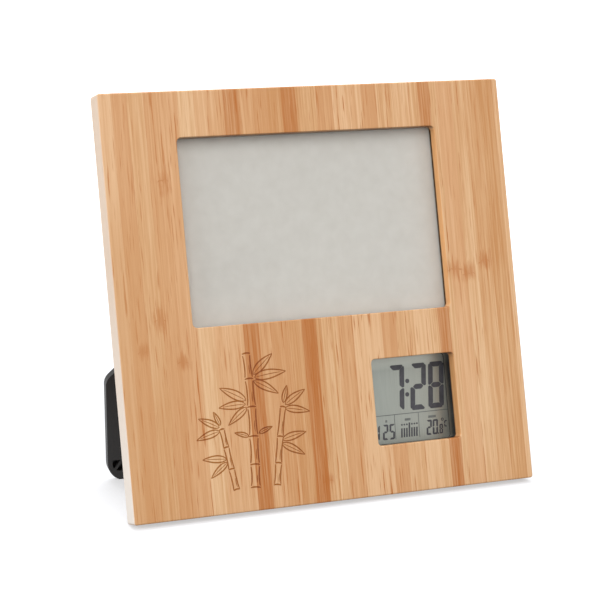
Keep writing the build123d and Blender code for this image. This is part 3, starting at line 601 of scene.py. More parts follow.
@dataclass(frozen=True)
class BambooFinish:
    """Laminated bamboo under a satin oil.

    Attributes:
        deep: Colour of dashes, seams, knuckles and the browner strips.
        side: Colour of the board's outer sides, partly their strips' own paler edges and partly painted
            light; side_painted_light is paler painted light near the table.
        painted_lit_wall: Colour of the painted light on the openings' side walls; shade: colour of the
            painted shade where they lie in shadow.
        golden: Tone of the face's low left part.
        strip_width: Mean width of a strip, in metres.
        brown_strips: Middle and half width of the browner strips, in millimetres.
        knuckles: Middle and half size of each knuckle, in millimetres of the board's plane.
    """

    dark: Colour = srgb(196, 138, 82)
    middle: Colour = srgb(213, 165, 116)
    light: Colour = srgb(230, 191, 147)
    warm: Colour = srgb(221, 168, 124)
    deep: Colour = srgb(180, 104, 36)
    side: Colour = srgb(238, 220, 201)
    side_painted_light: Colour = srgb(250, 240, 229)
    painted_lit_wall: Colour = srgb(238, 174, 110)
    shade: Colour = srgb(106, 72, 42)
    golden: Colour = srgb(200, 146, 92)
    strip_width: float = 0.0083
    roughness: float = 0.46
    side_share: float = 0.7
    brown_strips: tuple[Point, ...] = ((-40.2, 4.1), (-9.4, 3.8), (65.5, 3.3))
    knuckles: tuple[tuple[float, float, float, float], ...] = (
        (-86.6, 97.6, 3.6, 7.0), (-76.8, 76.3, 3.2, 4.6), (-96.6, 82.9, 3.0, 4.2), (-78.8, 165.6, 3.2, 7.5),
        (74.5, 111.8, 4.6, 4.6), (82.2, 108.8, 4.2, 5.0), (91.4, 114.6, 3.8, 4.8), (-6.3, 11.0, 3.4, 3.4))

    def pattern(self, shop: Workshop, draft: Draft) -> Sockets:
        """Places the bamboo group and the knuckles with this finish's values.

        Args:
            shop: The shared plane and effects.
            draft: The material that is being made.

        Returns:
            Sockets for Color, Height and Dullness.
        """
        pen = draft.pen
        across, _, height = draft.parts()
        strength = pen.span(height, 0.04, 0.15, 1.0, 0.8)
        brown: Value = 0.0
        for middle, half in self.brown_strips:
            strip = pen.span(abs(across - middle * MM), (half - 0.15) * MM, (half + 0.15) * MM, 1.0, 0.0)
            brown = pen.most(brown, strip * strength)
        wood = draft.lay(shop.effects.bamboo, Strip_Width=self.strip_width, Tone_Spread=0.8, Streak=1.15,
                         Fibre=1.9, Dash=1.2, Brown=brown, Dark=self.dark, Middle=self.middle,
                         Light=self.light, Warm=self.warm, Deep=self.deep)
        for x, z, half_width, half_height in self.knuckles:
            middle = Vector((x * MM, 0.0, z * MM)) + shop.plane.offset
            mark = draft.lay(shop.effects.knuckle, Middle=tuple(middle), Half_Width=half_width * MM,
                             Half_Height=half_height * MM)
            wood["Color"] = pen.blend(mark["Mask"], wood["Color"], self.deep)
        return wood

    def build(self, shop: Workshop) -> bpy.types.Material:
        """Makes the board's material, paler on its sides partly by painted light, with painted light and
        painted shade on the openings' walls.
        """
        draft = shop.start("bamboo")
        pen = draft.pen
        wood = self.pattern(shop, draft)
        aside, _, upward = pen.split(shop.leaning(pen, "Normal"))
        across, depth, height = draft.parts()
        width = shop.plane.flat_box("front_board")[1].x
        outer = pen.span(abs(across), width * 0.97, width * 0.99)
        gold = pen.span(across, -width, -0.07, 0.5, 0.0) * pen.span(height, 0.13, 0.17, 1.0, 0.0)
        colour = pen.blend(gold, wood["Color"], self.golden)
        # Painted light on the outer sides: paler, partly the strips' own paler edges and partly painted
        # light, and paler still near the table
        low_light_share = pen.span(height, 0.01, 0.13, 1.0, 0.0)
        share = low_light_share * (1.0 - self.side_share) + self.side_share
        side = pen.blend(low_light_share, self.side, self.side_painted_light)
        colour = pen.blend(pen.span(abs(aside), 0.45, 0.95) * share * outer, colour, side)

        # The openings' walls: painted light on their sides, painted shade underneath and where they end
        inner = 1.0 - outer
        colour = pen.blend(pen.span(abs(aside), 0.6, 0.95) * inner * 0.75, colour, self.painted_lit_wall)
        pane = shop.plane.flat_box("picture_pane")[0]
        case_low, case_high = shop.plane.flat_box("clock_case")
        # Painted shade: darker where the walls end at the pane and the case, and on faces turned down
        to_lip = pen.span(height, case_high.z, pane.z, case_low.y, pane.y) - depth
        end = pen.span(to_lip, 0.2 * MM, 0.9 * MM, 0.8, 0.0) * (to_lip > -0.02 * MM)
        under = pen.span(upward, -0.9, -0.4, 0.6, 0.0) * (height > 0.01)
        colour = pen.blend(pen.most(end, under) * inner, colour, self.shade)
        return draft.finish(colour, wood["Dullness"] + self.roughness, pen.bump(wood["Height"], 0.00005),
                            Specular_IOR_Level=0.4)

    def burnt(self, shop: Workshop, tint: Colour) -> bpy.types.Material:
        """Makes the finish of a line that was burnt into the board.

        Args:
            shop: The shared plane and effects.
            tint: Colour that the wood is multiplied by.

        Returns:
            The material.
        """
        draft = shop.start("burnt_bamboo")
        pen = draft.pen
        wood = self.pattern(shop, draft)
        soot = pen.noise(draft.places, 900.0, 3.0)
        burn = pen.blend(pen.span(soot, 0.35, 0.75, 0.0, 0.35), tint, self.light)
        return draft.finish(pen.blend(1.0, wood["Color"], burn, "MULTIPLY"), wood["Dullness"] + 0.75,
                            pen.bump(soot, 0.00008))


@dataclass(frozen=True)
class MouldedFinish:
    """Moulded plastic or rubber with a spark-eroded grain."""

    name: str
    colour: Colour
    worn: Colour
    roughness: float = 0.5
    pits: float = 2600.0
    depth: float = 0.00004
    coat: float = 0.0

    def build(self, shop: Workshop) -> bpy.types.Material:
        """Makes the material."""
        draft = shop.start(self.name)
        pen = draft.pen
        grain = draft.lay(shop.effects.spark, Pits=self.pits, Spread=0.22)
        marks = draft.lay(shop.effects.rub, Cloud_Scale=55.0, Amount=0.35)
        colour = pen.blend(marks["Mask"] * 0.5, self.colour, self.worn)
        colour = pen.blend(marks["Scratch"] * 0.4, colour, self.worn)
        return draft.finish(self.tinted(shop, draft, colour), grain["Dullness"] + self.roughness,
                            pen.bump(grain["Height"], self.depth), Coat_Weight=self.coat)

    def tinted(self, shop: Workshop, draft: Draft, colour: Signal) -> Signal:
        """Changes the colour from place to place; plain plastic keeps it."""
        return colour


@dataclass(frozen=True)
class NeckFinish(MouldedFinish):
    """The clock case's plastic: its neck has painted shade, black by the wood, and a painted reflection of
    the display, greyer by the display.

    Attributes:
        neck_shade: Colour of the painted shade on the neck where it leaves the wood.
        display_reflection: Colour of the painted reflection of the display where the neck meets it.
    """

    neck_shade: Colour = srgb(12, 11, 11)
    display_reflection: Colour = srgb(104, 98, 88)

    def tinted(self, shop: Workshop, draft: Draft, colour: Signal) -> Signal:
        """Paints shade and the display's reflection over the neck's depth."""
        _, depth, _ = draft.parts()
        front = shop.plane.flat_box("clock_case")[0].y
        foot = shop.plane.flat_box("display_gasket")[0].y
        inward = draft.pen.span(depth, front + (foot - front) * 0.4, foot)
        painted_neck = draft.pen.blend(inward, self.neck_shade, self.display_reflection)
        return draft.pen.blend(depth < foot + 0.1 * MM, colour, painted_neck)


@dataclass(frozen=True)
class MetalFinish:
    """Plated or rolled metal with fine lay lines and handling marks."""

    name: str
    colour: Colour
    tarnish: Colour
    roughness: float
    lay: tuple[float, float, float] = (150.0, 4000.0, 4000.0)

    def build(self, shop: Workshop) -> bpy.types.Material:
        """Makes the material."""
        draft = shop.start(self.name)
        pen = draft.pen
        lines = pen.grain(draft.places, self.lay, 3.0, 0.6)
        marks = draft.lay(shop.effects.rub, Cloud_Scale=160.0, Amount=0.6)
        roughness = (lines - 0.5) * 0.25 + self.roughness + marks["Mask"] * 0.15
        return draft.finish(pen.blend(marks["Mask"], self.colour, self.tarnish), roughness,
                            pen.bump(lines, 0.00001, 0.5), Metallic=1.0)


@dataclass(frozen=True)
class PressedFinish:
    """Card or board pressed from fibres.

    Attributes:
        covers: How far the board's lip covers the card at its sides and its ends, in millimetres.
        lip_shade: Colour of the painted shade on what the lip covers.
    """

    name: str
    ground: Colour
    fleck: Colour
    cloud: Colour
    size: float = 700.0
    amount: float = 0.25
    roughness: float = 0.85
    covers: Optional[Point] = None
    lip_shade: Colour = srgb(92, 70, 48)

    def build(self, shop: Workshop) -> bpy.types.Material:
        """Makes the material."""
        draft = shop.start(self.name)
        fibres = draft.lay(shop.effects.flecks, Size=self.size, Amount=self.amount, Ground=self.ground,
                           Fleck=self.fleck, Cloud=self.cloud)
        colour = fibres["Color"]
        # Painted shade on the card's rim, behind the board's lip
        if self.covers:
            colour = draft.pen.blend(self.lip_shade_mask(shop, draft), colour, self.lip_shade)
        return draft.finish(colour, (fibres["Height"] - 0.5) * 0.1 + self.roughness,
                            draft.pen.bump(fibres["Height"], 0.00003), Specular_IOR_Level=0.25)

    def lip_shade_mask(self, shop: Workshop, draft: Draft) -> Signal:
        """Mask of the painted shade on the card's rim, which the board's lip covers."""
        pen = draft.pen
        low, high = shop.plane.flat_box("picture_card")
        across, _, height = draft.parts()
        side, end = self.covers
        edge = high.x - side * MM
        half = (high.z - low.z) / 2 - end * MM
        return pen.most(pen.span(abs(height - (low.z + high.z) / 2), half - 0.1 * MM, half + 0.3 * MM),
                        pen.span(abs(across), edge - 0.1 * MM, edge + 0.4 * MM))


@dataclass(frozen=True)
class PaneFinish:
    """The clear sheet in front of the picture."""

    tint: Colour = srgb(246, 250, 249)
    wiped: Colour = srgb(240, 246, 246)

    def build(self, shop: Workshop) -> bpy.types.Material:
        """Makes the material, with faint wiping marks in its gloss."""
        draft = shop.start("clear_pane")
        mask = draft.lay(shop.effects.rub, Cloud_Scale=25.0, Amount=0.5)["Mask"]
        return draft.finish(draft.pen.blend(mask, self.tint, self.wiped), mask * 0.06 + 0.03, Alpha=0.12,
                            Transmission_Weight=1.0, IOR=1.49)


@dataclass(frozen=True)
class DisplayFinish:
    """The grey-green ground of a reflective liquid crystal display.

    Attributes:
        cool: Its colour towards the left.
        lit: Colour of the painted light just under the neck, against the shade of the window's top.
        window_top: Height of the window's upper edge up the board, in metres.
        painted_light_reach: How far the painted light reaches down from there, in metres.
        painted_light_share: Share of the painted light at the top.
        mirror: Share of metal in the ground.
    """

    ground: Colour = srgb(150, 151, 142)
    cool: Colour = srgb(145, 152, 147)
    contact: Colour = srgb(92, 96, 92)
    lit: Colour = srgb(196, 198, 188)
    window_top: float = 0.0688
    painted_light_reach: float = 0.0065
    painted_light_share: float = 0.75
    mirror: float = 0.7

    def build(self, shop: Workshop) -> bpy.types.Material:
        """Makes the material with a fine vertical grain and painted light near its top."""
        draft = shop.start("display_ground")
        pen = draft.pen
        low, high = shop.plane.flat_box("display_panel")
        across, _, height = draft.parts()
        grain = pen.grain(draft.places, (1400.0, 1400.0, 60.0))
        colour = pen.blend(pen.span(across, low.x, high.x, 0.7, 0.0), self.ground, self.cool)
        colour = pen.blend(pen.span(grain, 0.4, 0.8, 0.0, 0.12), colour, self.contact)
        # Painted light near the top, against the shade of the window's lip
        painted_light_top = pen.span(height, self.window_top - self.painted_light_reach, self.window_top, 0.0, self.painted_light_share)
        return draft.finish(pen.blend(painted_light_top, colour, self.lit), grain * 0.08 + 0.34,
                            pen.bump(grain, 0.000006), Metallic=self.mirror)


@dataclass(frozen=True)
class InkFinish:
    """A dark liquid crystal segment or a printed mark."""

    name: str
    colour: Colour
    faded: Colour
    roughness: float = 0.4

    def build(self, shop: Workshop) -> bpy.types.Material:
        """Makes the material, a little uneven in tone."""
        draft = shop.start(self.name)
        pen = draft.pen
        cloud = pen.noise(draft.places, 320.0)
        return draft.finish(pen.blend(pen.span(cloud, 0.35, 0.75), self.colour, self.faded),
                            cloud * 0.1 + self.roughness, pen.bump(pen.noise(draft.places, 5000.0), 0.000004))


@dataclass(frozen=True)
class CircuitFinish:
    """Green solder resist over copper tracks."""

    resist: Colour = srgb(24, 96, 58)
    track: Colour = srgb(58, 138, 82)

    def build(self, shop: Workshop) -> bpy.types.Material:
        """Makes the material."""
        draft = shop.start("solder_resist")
        pen = draft.pen
        distance = pen.read("ShaderNodeTexVoronoi", {"Vector": draft.places, "Scale": 420.0}, "Distance",
                            distance="MANHATTAN")
        tracks = pen.span(pen.math("FRACT", distance * 3.0), 0.4, 0.5)
        return draft.finish(pen.blend(tracks, self.resist, self.track), tracks * 0.1 + 0.28,
                            pen.bump(tracks, 0.00003))


@dataclass(frozen=True)
class CellFinish:
    """A dry cell: a plain printed jacket between bare metal ends.

    Attributes:
        cap_up: Whether the cell's cap points up the board.
        end: Length of the bare metal at the cap, in metres.
        band_share: Share of the length that the band takes.
    """

    name: str
    node: str
    cap_up: bool
    jacket: Colour = srgb(38, 62, 92)
    band: Colour = srgb(196, 160, 88)
    metal: Colour = srgb(196, 194, 188)
    end: float = 0.0022
    band_share: float = 0.27

    def build(self, shop: Workshop) -> bpy.types.Material:
        """Makes the material from the cell's own length."""
        draft = shop.start(self.name)
        pen = draft.pen
        low, high = shop.plane.flat_box(self.node)
        _, _, along = draft.parts()
        reach = (high.z - low.z) * self.band_share
        if self.cap_up:
            inside = (along > low.z + self.end / 2) * (along < high.z - self.end)
            banded = along > high.z - reach
        else:
            inside = (along > low.z + self.end) * (along < high.z - self.end / 2)
            banded = along < low.z + reach
        marks = draft.lay(shop.effects.rub, Cloud_Scale=120.0, Amount=0.5)
        colour = pen.blend(banded, self.jacket, self.band)
        colour = pen.blend(marks["Scratch"] * 0.5, colour, self.metal)
        return draft.finish(pen.blend(inside, self.metal, colour), marks["Mask"] * 0.2 + 0.28,
                            Metallic=inside * -0.6 + 1.0)


@dataclass(frozen=True)
class StripedFinish:
    """A contact strip: thin dark conducting layers in pale rubber."""

    rubber: Colour = srgb(206, 196, 168)
    carbon: Colour = srgb(36, 36, 38)
    pitch: float = 0.0003

    def build(self, shop: Workshop) -> bpy.types.Material:
        """Makes the material."""
        draft = shop.start("striped_rubber")
        pen = draft.pen
        layer = pen.math("FRACT", draft.parts()[0] / self.pitch) > 0.5
        grain = draft.lay(shop.effects.spark, Pits=1800.0, Spread=0.2)
        return draft.finish(pen.blend(layer, self.rubber, self.carbon), grain["Dullness"] + 0.7,
                            pen.bump(grain["Height"], 0.00003))


@dataclass(frozen=True)
class SegmentDigit:
    """A seven-segment digit with cut corners and a slant.

    Attributes:
        width: Width over both uprights.
        height: Height over top and bottom bars.
        stroke: Thickness of a segment.
        gap: Clear line between two segments; at the corners it is a fifth of that.
        lit: Lit segments by character.
    """

    width: float
    height: float
    stroke: float
    gap: float = 0.05
    lit: dict[str, str] = field(default_factory=lambda: {
        "0": "abcdef", "1": "bc", "2": "abdeg", "5": "acdfg", "7": "abc", "8": "abcdefg", "C": "adef"})

    def segment(self, name: str) -> list[Point]:
        """Outline of one segment of an upright digit at the origin."""
        wide, tall, thick, gap = self.width, self.height, self.stroke, self.gap
        cut = thick * 0.5
        near = gap / 5
        middle = tall / 2
        top = [(cut, tall), (wide - cut, tall), (wide - cut / 2 - near, tall - cut / 2),
               (wide - thick - near, tall - thick), (thick + near, tall - thick),
               (cut / 2 + near, tall - cut / 2)]
        right = [(wide, tall - cut), (wide, middle + gap + thick * 0.1), (wide - thick * 0.4, middle + gap),
                 (wide - thick, middle + cut + gap), (wide - thick, tall - thick - near),
                 (wide - cut / 2, tall - cut / 2 - near)]
        across = [(cut + gap, middle), (thick + gap, middle + cut), (wide - thick - gap, middle + cut),
                  (wide - cut - gap, middle), (wide - thick - gap, middle - cut), (thick + gap, middle - cut)]
        shapes = {"a": (top, False, False), "b": (right, False, False), "c": (right, False, True),
                  "d": (top, False, True), "e": (right, True, True), "f": (right, True, False),
                  "g": (across, False, False)}
        shape, mirrored, inverted = shapes[name]
        return [(wide - x if mirrored else x, tall - z if inverted else z) for x, z in shape]

    def soft_segment(self, name: str) -> list[Point]:
        """Outline of a segment with each of its corners cut once."""
        outline = self.segment(name)
        result: list[Point] = []
        for place, (x, z) in enumerate(outline):
            for other in (outline[place - 1], outline[(place + 1) % len(outline)]):
                share = min(self.stroke * 0.12 / math.hypot(other[0] - x, other[1] - z), 0.3)
                result.append((x + (other[0] - x) * share, z + (other[1] - z) * share))
        return result

    def write(self, plates: PlateStack, row: Iterable[tuple[str, float]], low: float) -> None:
        """Adds characters to a set of plates.

        Args:
            plates: The plates to add to.
            row: Each character with the left edge of its foot.
            low: Foot of the characters.
        """
        for character, left in row:
            for name in self.lit[character]:
                plates.plate([(left + x + z * DIGIT_SLANT, low + z) for x, z in self.soft_segment(name)])


@dataclass
class DisplayReadout:
    """The clock's reading: time above, date, week bar and temperature below.

    Attributes:
        proud: How far the dark segments stand before the display's face, in metres.
        rule_height: Height of the rule under the time, in millimetres like all that follows.
        dividers: Places of the lower fields' dividers.
        headings: Middle and half width of each field's tiny heading.
        week_left: Left edge of the first day's bar.
        week_foot: Foot of the bars.
        week_pitch: Distance from one bar to the next.
        today: Number of the day whose bar is at full height.
    """

    shop: Workshop
    ink: bpy.types.Material
    faint: bpy.types.Material
    proud: float = 0.00005
    rule_height: float = 39.4
    dividers: tuple[float, ...] = (38.6, 52.2)
    headings: tuple[tuple[float, float, float], ...] = (
        (33.9, 36.4, 0.6), (45.9, 36.3, 1.6), (59.7, 36.5, 2.0))
    week_left: float = 41.4
    week_foot: float = 27.3
    week_days: int = 7
    week_pitch: float = 1.42
    today: int = 3

    def stack(self) -> PlateStack:
        """Starts a set of plates on the display's face."""
        face = self.shop.plane.flat_box("display_panel")[0].y
        return PlateStack(self.shop.plane, face - self.proud, face - self.proud / 5, self.proud / 20)

    def build(self) -> None:
        """Builds the dark segments and the fine printed lines."""
        dark = self.stack()
        self.add_time(dark)
        self.add_date_and_heat(dark)
        self.add_week(dark)
        self.shop.new_piece("display_digits", dark, self.ink, Body.BOARD.value, "display")
        fine = self.stack()
        self.add_rules(fine)
        self.shop.new_piece("display_rules", fine, self.faint, Body.BOARD.value, "display")

    def add_time(self, dark: PlateStack) -> None:
        """Adds hours, colon and minutes."""
        SegmentDigit(8.9, 24.0, 2.65, 0.1).write(dark, (("7", 35.7), ("2", 48.1), ("8", 58.3)), 40.7)
        for x, z in ((47.7, 56.0), (47.0, 49.1)):
            dark.disc(x, z, 1.15)

    def add_date_and_heat(self, dark: PlateStack) -> None:
        """Adds month and day, then the temperature with its point and its unit."""
        SegmentDigit(3.05, 7.9, 1.0).write(dark, (("1", 26.3), ("2", 31.1), ("5", 34.8)), 26.9)
        SegmentDigit(3.05, 7.8, 1.0).write(dark, (("2", 55.9), ("0", 59.4)), 27.1)
        dark.disc(62.75, 27.5, 0.4, 12)
        SegmentDigit(2.0, 5.0, 0.75).write(dark, (("8", 63.3),), 27.2)
        dark.ring(65.6, 34.5, 0.6, 0.42, 16)
        SegmentDigit(1.8, 3.3, 0.62).write(dark, (("C", 66.3),), 30.5)

    def add_week(self, dark: PlateStack) -> None:
        """Adds a bar and a dot for each day of the week, today's bar at full height."""
        for day in range(self.week_days):
            left = self.week_left + day * self.week_pitch
            high = 34.6 if day == self.today else 32.0
            dark.bar(left, self.week_foot, left + 0.85, high, lean=(high - self.week_foot) * DIGIT_SLANT)
            if day != self.today:
                dark.disc(left + 1.02, 33.8, 0.48, 12)

    def add_rules(self, fine: PlateStack) -> None:
        """Adds the rule under the time, the dividers and the tiny headings' bars."""
        low, high = self.shop.plane.flat_box("display_panel")
        height = self.rule_height
        fine.bar(low.x / MM + 0.4, height - 0.19, high.x / MM - 0.4, height + 0.19)
        for x in self.dividers:
            fine.bar(x - 0.42, 26.6, x - 0.08, height - 0.2, lean=0.3)
        for x, z, half in self.headings:
            for number in range(int(half * 4)):
                left = x - half + number * 0.55
                fine.bar(left, z - 0.6, left + 0.44, z + 0.6, lean=0.1)


@dataclass
class BambooSprig:
    """A burnt drawing of bamboo canes with leaves, in thin ribbons.

    Attributes:
        middle_x: Middle of the drawing across the board, in millimetres.
        middle_z: Middle of the drawing up the board, in millimetres.
        line: Width of a drawn line.
        proud: How far the drawing stands before the board, in metres.
        canes: Foot, knee and tip of each cane's middle line, and its width.
        joints: Where each cane's joints are, as shares of its length.
        leaves: Foot, direction in degrees and length of each leaf.
        narrowing: Share of its width that a cane loses from foot to tip.
        waist: Half width of an internode's waist as a share of the cane's width.
        flare: What the internode's ends add to that share.
        belly: Half width of a leaf as a share of its length.
        droop: How far a leaf's tip sinks as a share of its length.
        cane_steps: Number of parts in an internode's edge.
        leaf_steps: Number of parts in a leaf's edge.
    """

    shop: Workshop
    burn: bpy.types.Material
    middle_x: float = -44.0
    middle_z: float = 44.5
    line: float = 0.72
    proud: float = 0.000022
    canes: tuple[tuple[Point, Point, Point, float], ...] = (
        ((-1.0, -33.0), (1.5, 0.0), (0.0, 33.0), 4.7),
        ((10.5, -33.0), (13.0, -14.0), (17.0, 5.0), 3.5),
        ((-11.0, -33.0), (-13.5, -18.0), (-16.0, -3.0), 3.1))
    joints: tuple[tuple[float, ...], ...] = (
        (0.0, 0.17, 0.38, 0.6, 0.81, 1.0), (0.0, 0.28, 0.62, 1.0), (0.0, 0.34, 0.7, 1.0))
    leaves: tuple[tuple[float, float, float, float], ...] = (
        (2.8, 22.6, 44.0, 15.0), (3.4, 21.0, 10.0, 17.0), (2.8, 19.4, -27.0, 14.0),
        (-2.2, 10.2, 148.0, 15.5), (-2.6, 8.4, 179.0, 14.0), (-2.0, 6.6, 214.0, 12.5),
        (17.4, 7.2, 74.0, 9.5), (18.2, 6.2, 34.0, 13.5), (18.2, 4.4, -8.0, 13.0),
        (15.2, -11.0, 16.0, 13.5), (14.8, -12.8, -26.0, 13.0),
        (-16.6, -0.8, 112.0, 8.0), (-17.2, -1.8, 150.0, 12.0), (-17.2, -3.6, 192.0, 12.5),
        (-14.9, -17.6, 172.0, 12.5), (-14.5, -19.2, 214.0, 11.0),
        (3.2, -6.6, 24.0, 8.0), (-2.2, -7.6, 158.0, 8.0))
    narrowing: float = 0.18
    waist: float = 0.41
    flare: float = 0.09
    belly: float = 0.135
    droop: float = 0.07
    cane_steps: int = 12
    leaf_steps: int = 14

    def build(self) -> None:
        """Builds the drawing as one piece."""
        art = PlateStack(self.shop.plane, -self.proud, -self.proud / 8, self.proud / 12)
        for (foot, knee, tip, width), cuts in zip(self.canes, self.joints):
            self.add_cane(art, (foot, knee, tip), width, cuts)
        for x, z, heading, length in self.leaves:
            self.add_leaf(art, x, z, math.radians(heading), length)
        self.shop.new_piece("bamboo_sprig_engraving", art, self.burn, Body.BOARD.value, "bamboo")

    def draw(self, art: PlateStack, points: Iterable[Point], weight: float, taper: float) -> None:
        """Adds a line through points of the drawing.

        Args:
            art: The plates to add to.
            points: Points from the drawing's middle.
            weight: Its width as a share of the usual line.
            taper: Share of the width that is left at its ends.
        """
        art.ribbon([(self.middle_x + x, self.middle_z + z) for x, z in points], self.line * weight, taper)

    def add_cane(self, art: PlateStack, bends: tuple[Point, Point, Point], width: float,
                 cuts: Sequence[float]) -> None:
        """Adds a cane as waisted internodes with a bar at each joint.

        Args:
            art: The plates to add to.
            bends: Foot, knee and tip of the cane's middle line.
            width: Width of the cane.
            cuts: Where the joints are, as shares of its length.
        """
        def at(share: float) -> tuple[Point, Point]:
            """Point and sideways direction on the middle line."""
            (x0, z0), (x1, z1), (x2, z2) = bends
            rest = 1.0 - share
            point = (rest * rest * x0 + 2 * rest * share * x1 + share * share * x2,
                     rest * rest * z0 + 2 * rest * share * z1 + share * share * z2)
            run = (rest * (x1 - x0) + share * (x2 - x1), rest * (z1 - z0) + share * (z2 - z1))
            size = math.hypot(*run)
            return point, (run[1] / size, -run[0] / size)

        def edge(low: float, high: float, side: float) -> list[Point]:
            """One side of an internode, drawn in a little at its waist."""
            points = []
            for number in range(self.cane_steps + 1):
                share = low + (high - low) * number / self.cane_steps
                point, aside = at(share)
                swell = abs(2 * number / self.cane_steps - 1.0) ** 2.5
                half = side * width * (self.waist + self.flare * swell) * (1.0 - self.narrowing * share)
                points.append((point[0] + aside[0] * half, point[1] + aside[1] * half))
            return points

        gap = 0.014
        arch = 0.35
        for low, high in zip(cuts, cuts[1:]):
            for side in (-1.0, 1.0):
                self.draw(art, edge(low + gap, high - gap, side), 1.0, 0.7)
            self.draw(art, edge(low + gap * 2.5, low + (high - low) * 0.55, 0.45), 0.55, 0.2)
        for cut in cuts:
            point, aside = at(cut)
            half = width * 0.56 * (1.0 - self.narrowing * cut)
            arc = [(point[0] + aside[0] * half * step / 4, point[1] + aside[1] * half * step / 4
                    + arch * (1.0 - (step / 4) ** 2)) for step in range(-4, 5)]
            self.draw(art, arc, 1.15, 0.55)

    def add_leaf(self, art: PlateStack, x: float, z: float, heading: float, length: float) -> None:
        """Adds a leaf: a pointed outline with its middle vein.

        Args:
            art: The plates to add to.
            x: Foot of the leaf across the drawing.
            z: Foot of the leaf up the drawing.
            heading: Direction of its tip, in radians.
            length: Length of the blade.
        """
        along = (math.cos(heading), math.sin(heading))

        def spot(share: float, aside: float) -> Point:
            """A point of the blade, which droops towards its tip."""
            return (x + along[0] * length * share - along[1] * aside,
                    z + along[1] * length * share + along[0] * aside - self.droop * length * share * share)

        shares = [number / self.leaf_steps for number in range(self.leaf_steps + 1)]
        bellies = [length * self.belly * math.sin(math.pi * share ** 0.72) ** 0.9 for share in shares]
        for side in (1.0, -1.0):
            self.draw(art, [spot(share, side * belly) for share, belly in zip(shares, bellies)], 1.0, 0.5)
        self.draw(art, [spot(share * 0.8 + 0.04, 0.0) for share in shares], 0.55, 0.3)


class ButtonMark(Enum):
    """Symbols on the four push buttons, by the node that carries each."""

    LIST = "mode_button"
    RING = "set_button"
    UP = "up_button"
    DOWN = "down_button"


@dataclass
class RearMarks:
    """Symbols on the clock's rear: on its buttons and its battery door.

    Attributes:
        height: How far a symbol stands out, in metres.
        door_sunk: How far the door's face lies below its highest point, in metres.
    """

    shop: Workshop
    print_ink: bpy.types.Material
    plastic: bpy.types.Material
    height: float = 0.00012
    door_sunk: float = 0.0005

    def stack(self, node: str, sunk: float = 0.0) -> tuple[PlateStack, Vector, Vector]:
        """Starts a set of plates on a node's rear face.

        Args:
            node: The node that carries the symbols.
            sunk: How far that face lies below the node's highest point, in metres.

        Returns:
            The plates, and the node's corners in millimetres of the board's plane.
        """
        low, high = self.shop.plane.flat_box(node)
        face = high.y - sunk
        return PlateStack(self.shop.plane, face + self.height, face - self.height / 4), low / MM, high / MM

    def build(self) -> None:
        """Builds every symbol."""
        for mark in ButtonMark:
            self.add_button_mark(mark)
        self.add_door_arrow()
        self.add_cell_signs()

    def add_button_mark(self, mark: ButtonMark) -> None:
        """Adds a button's printed symbol."""
        plates, low, high = self.stack(mark.value)
        x = (low.x + high.x) / 2
        z = (low.z + high.z) / 2
        if mark is ButtonMark.LIST:
            for row in (-0.8, 0.0, 0.8):
                plates.bar(x - 1.1, z + row - 0.18, x + 1.1, z + row + 0.18)
        elif mark is ButtonMark.RING:
            plates.ring(x, z, 1.0, 0.38)
        else:
            way = 1.0 if mark is ButtonMark.UP else -1.0
            plates.plate([(x - 1.2, z - 0.8 * way), (x + 1.2, z - 0.8 * way), (x, z + 1.1 * way)])
        self.shop.new_piece(f"{mark.value}_symbol", plates, self.print_ink, f"{mark.value}_body",
                            "button_rubber")

    def add_door_arrow(self) -> None:
        """Adds the raised arrow that shows which way the battery door opens."""
        plates, low, high = self.stack("battery_door", self.door_sunk)
        x = (low.x + high.x) / 2
        z = low.z + (high.z - low.z) * 0.68
        plates.plate([(x - 0.7, z - 4.0), (x + 0.7, z - 4.0), (x + 0.7, z), (x + 2.4, z), (x, z + 3.2),
                      (x - 2.4, z), (x - 0.7, z)])
        self.shop.new_piece("door_arrow", plates, self.plastic, Body.DOOR.value, "black_plastic")

    def add_cell_signs(self) -> None:
        """Adds a plus and a minus on the door over the ends of each cell."""
        plates, low, high = self.stack("battery_door", self.door_sunk)
        middle = (low.x + high.x) / 2
        quarter = (high.x - low.x) / 4
        for side, cap_up in ((-1.0, True), (1.0, False)):
            x = middle + side * quarter
            for z, plus in ((high.z - 14.5, cap_up), (low.z + 5.0, not cap_up)):
                plates.bar(x - 1.3, z - 0.22, x + 1.3, z + 0.22)
                if plus:
                    plates.bar(x - 0.22, z + 0.22, x + 0.22, z + 1.3)
                    plates.bar(x - 0.22, z - 1.3, x + 0.22, z - 0.22)
        self.shop.new_piece("polarity_signs", plates, self.plastic, Body.DOOR.value, "black_plastic")


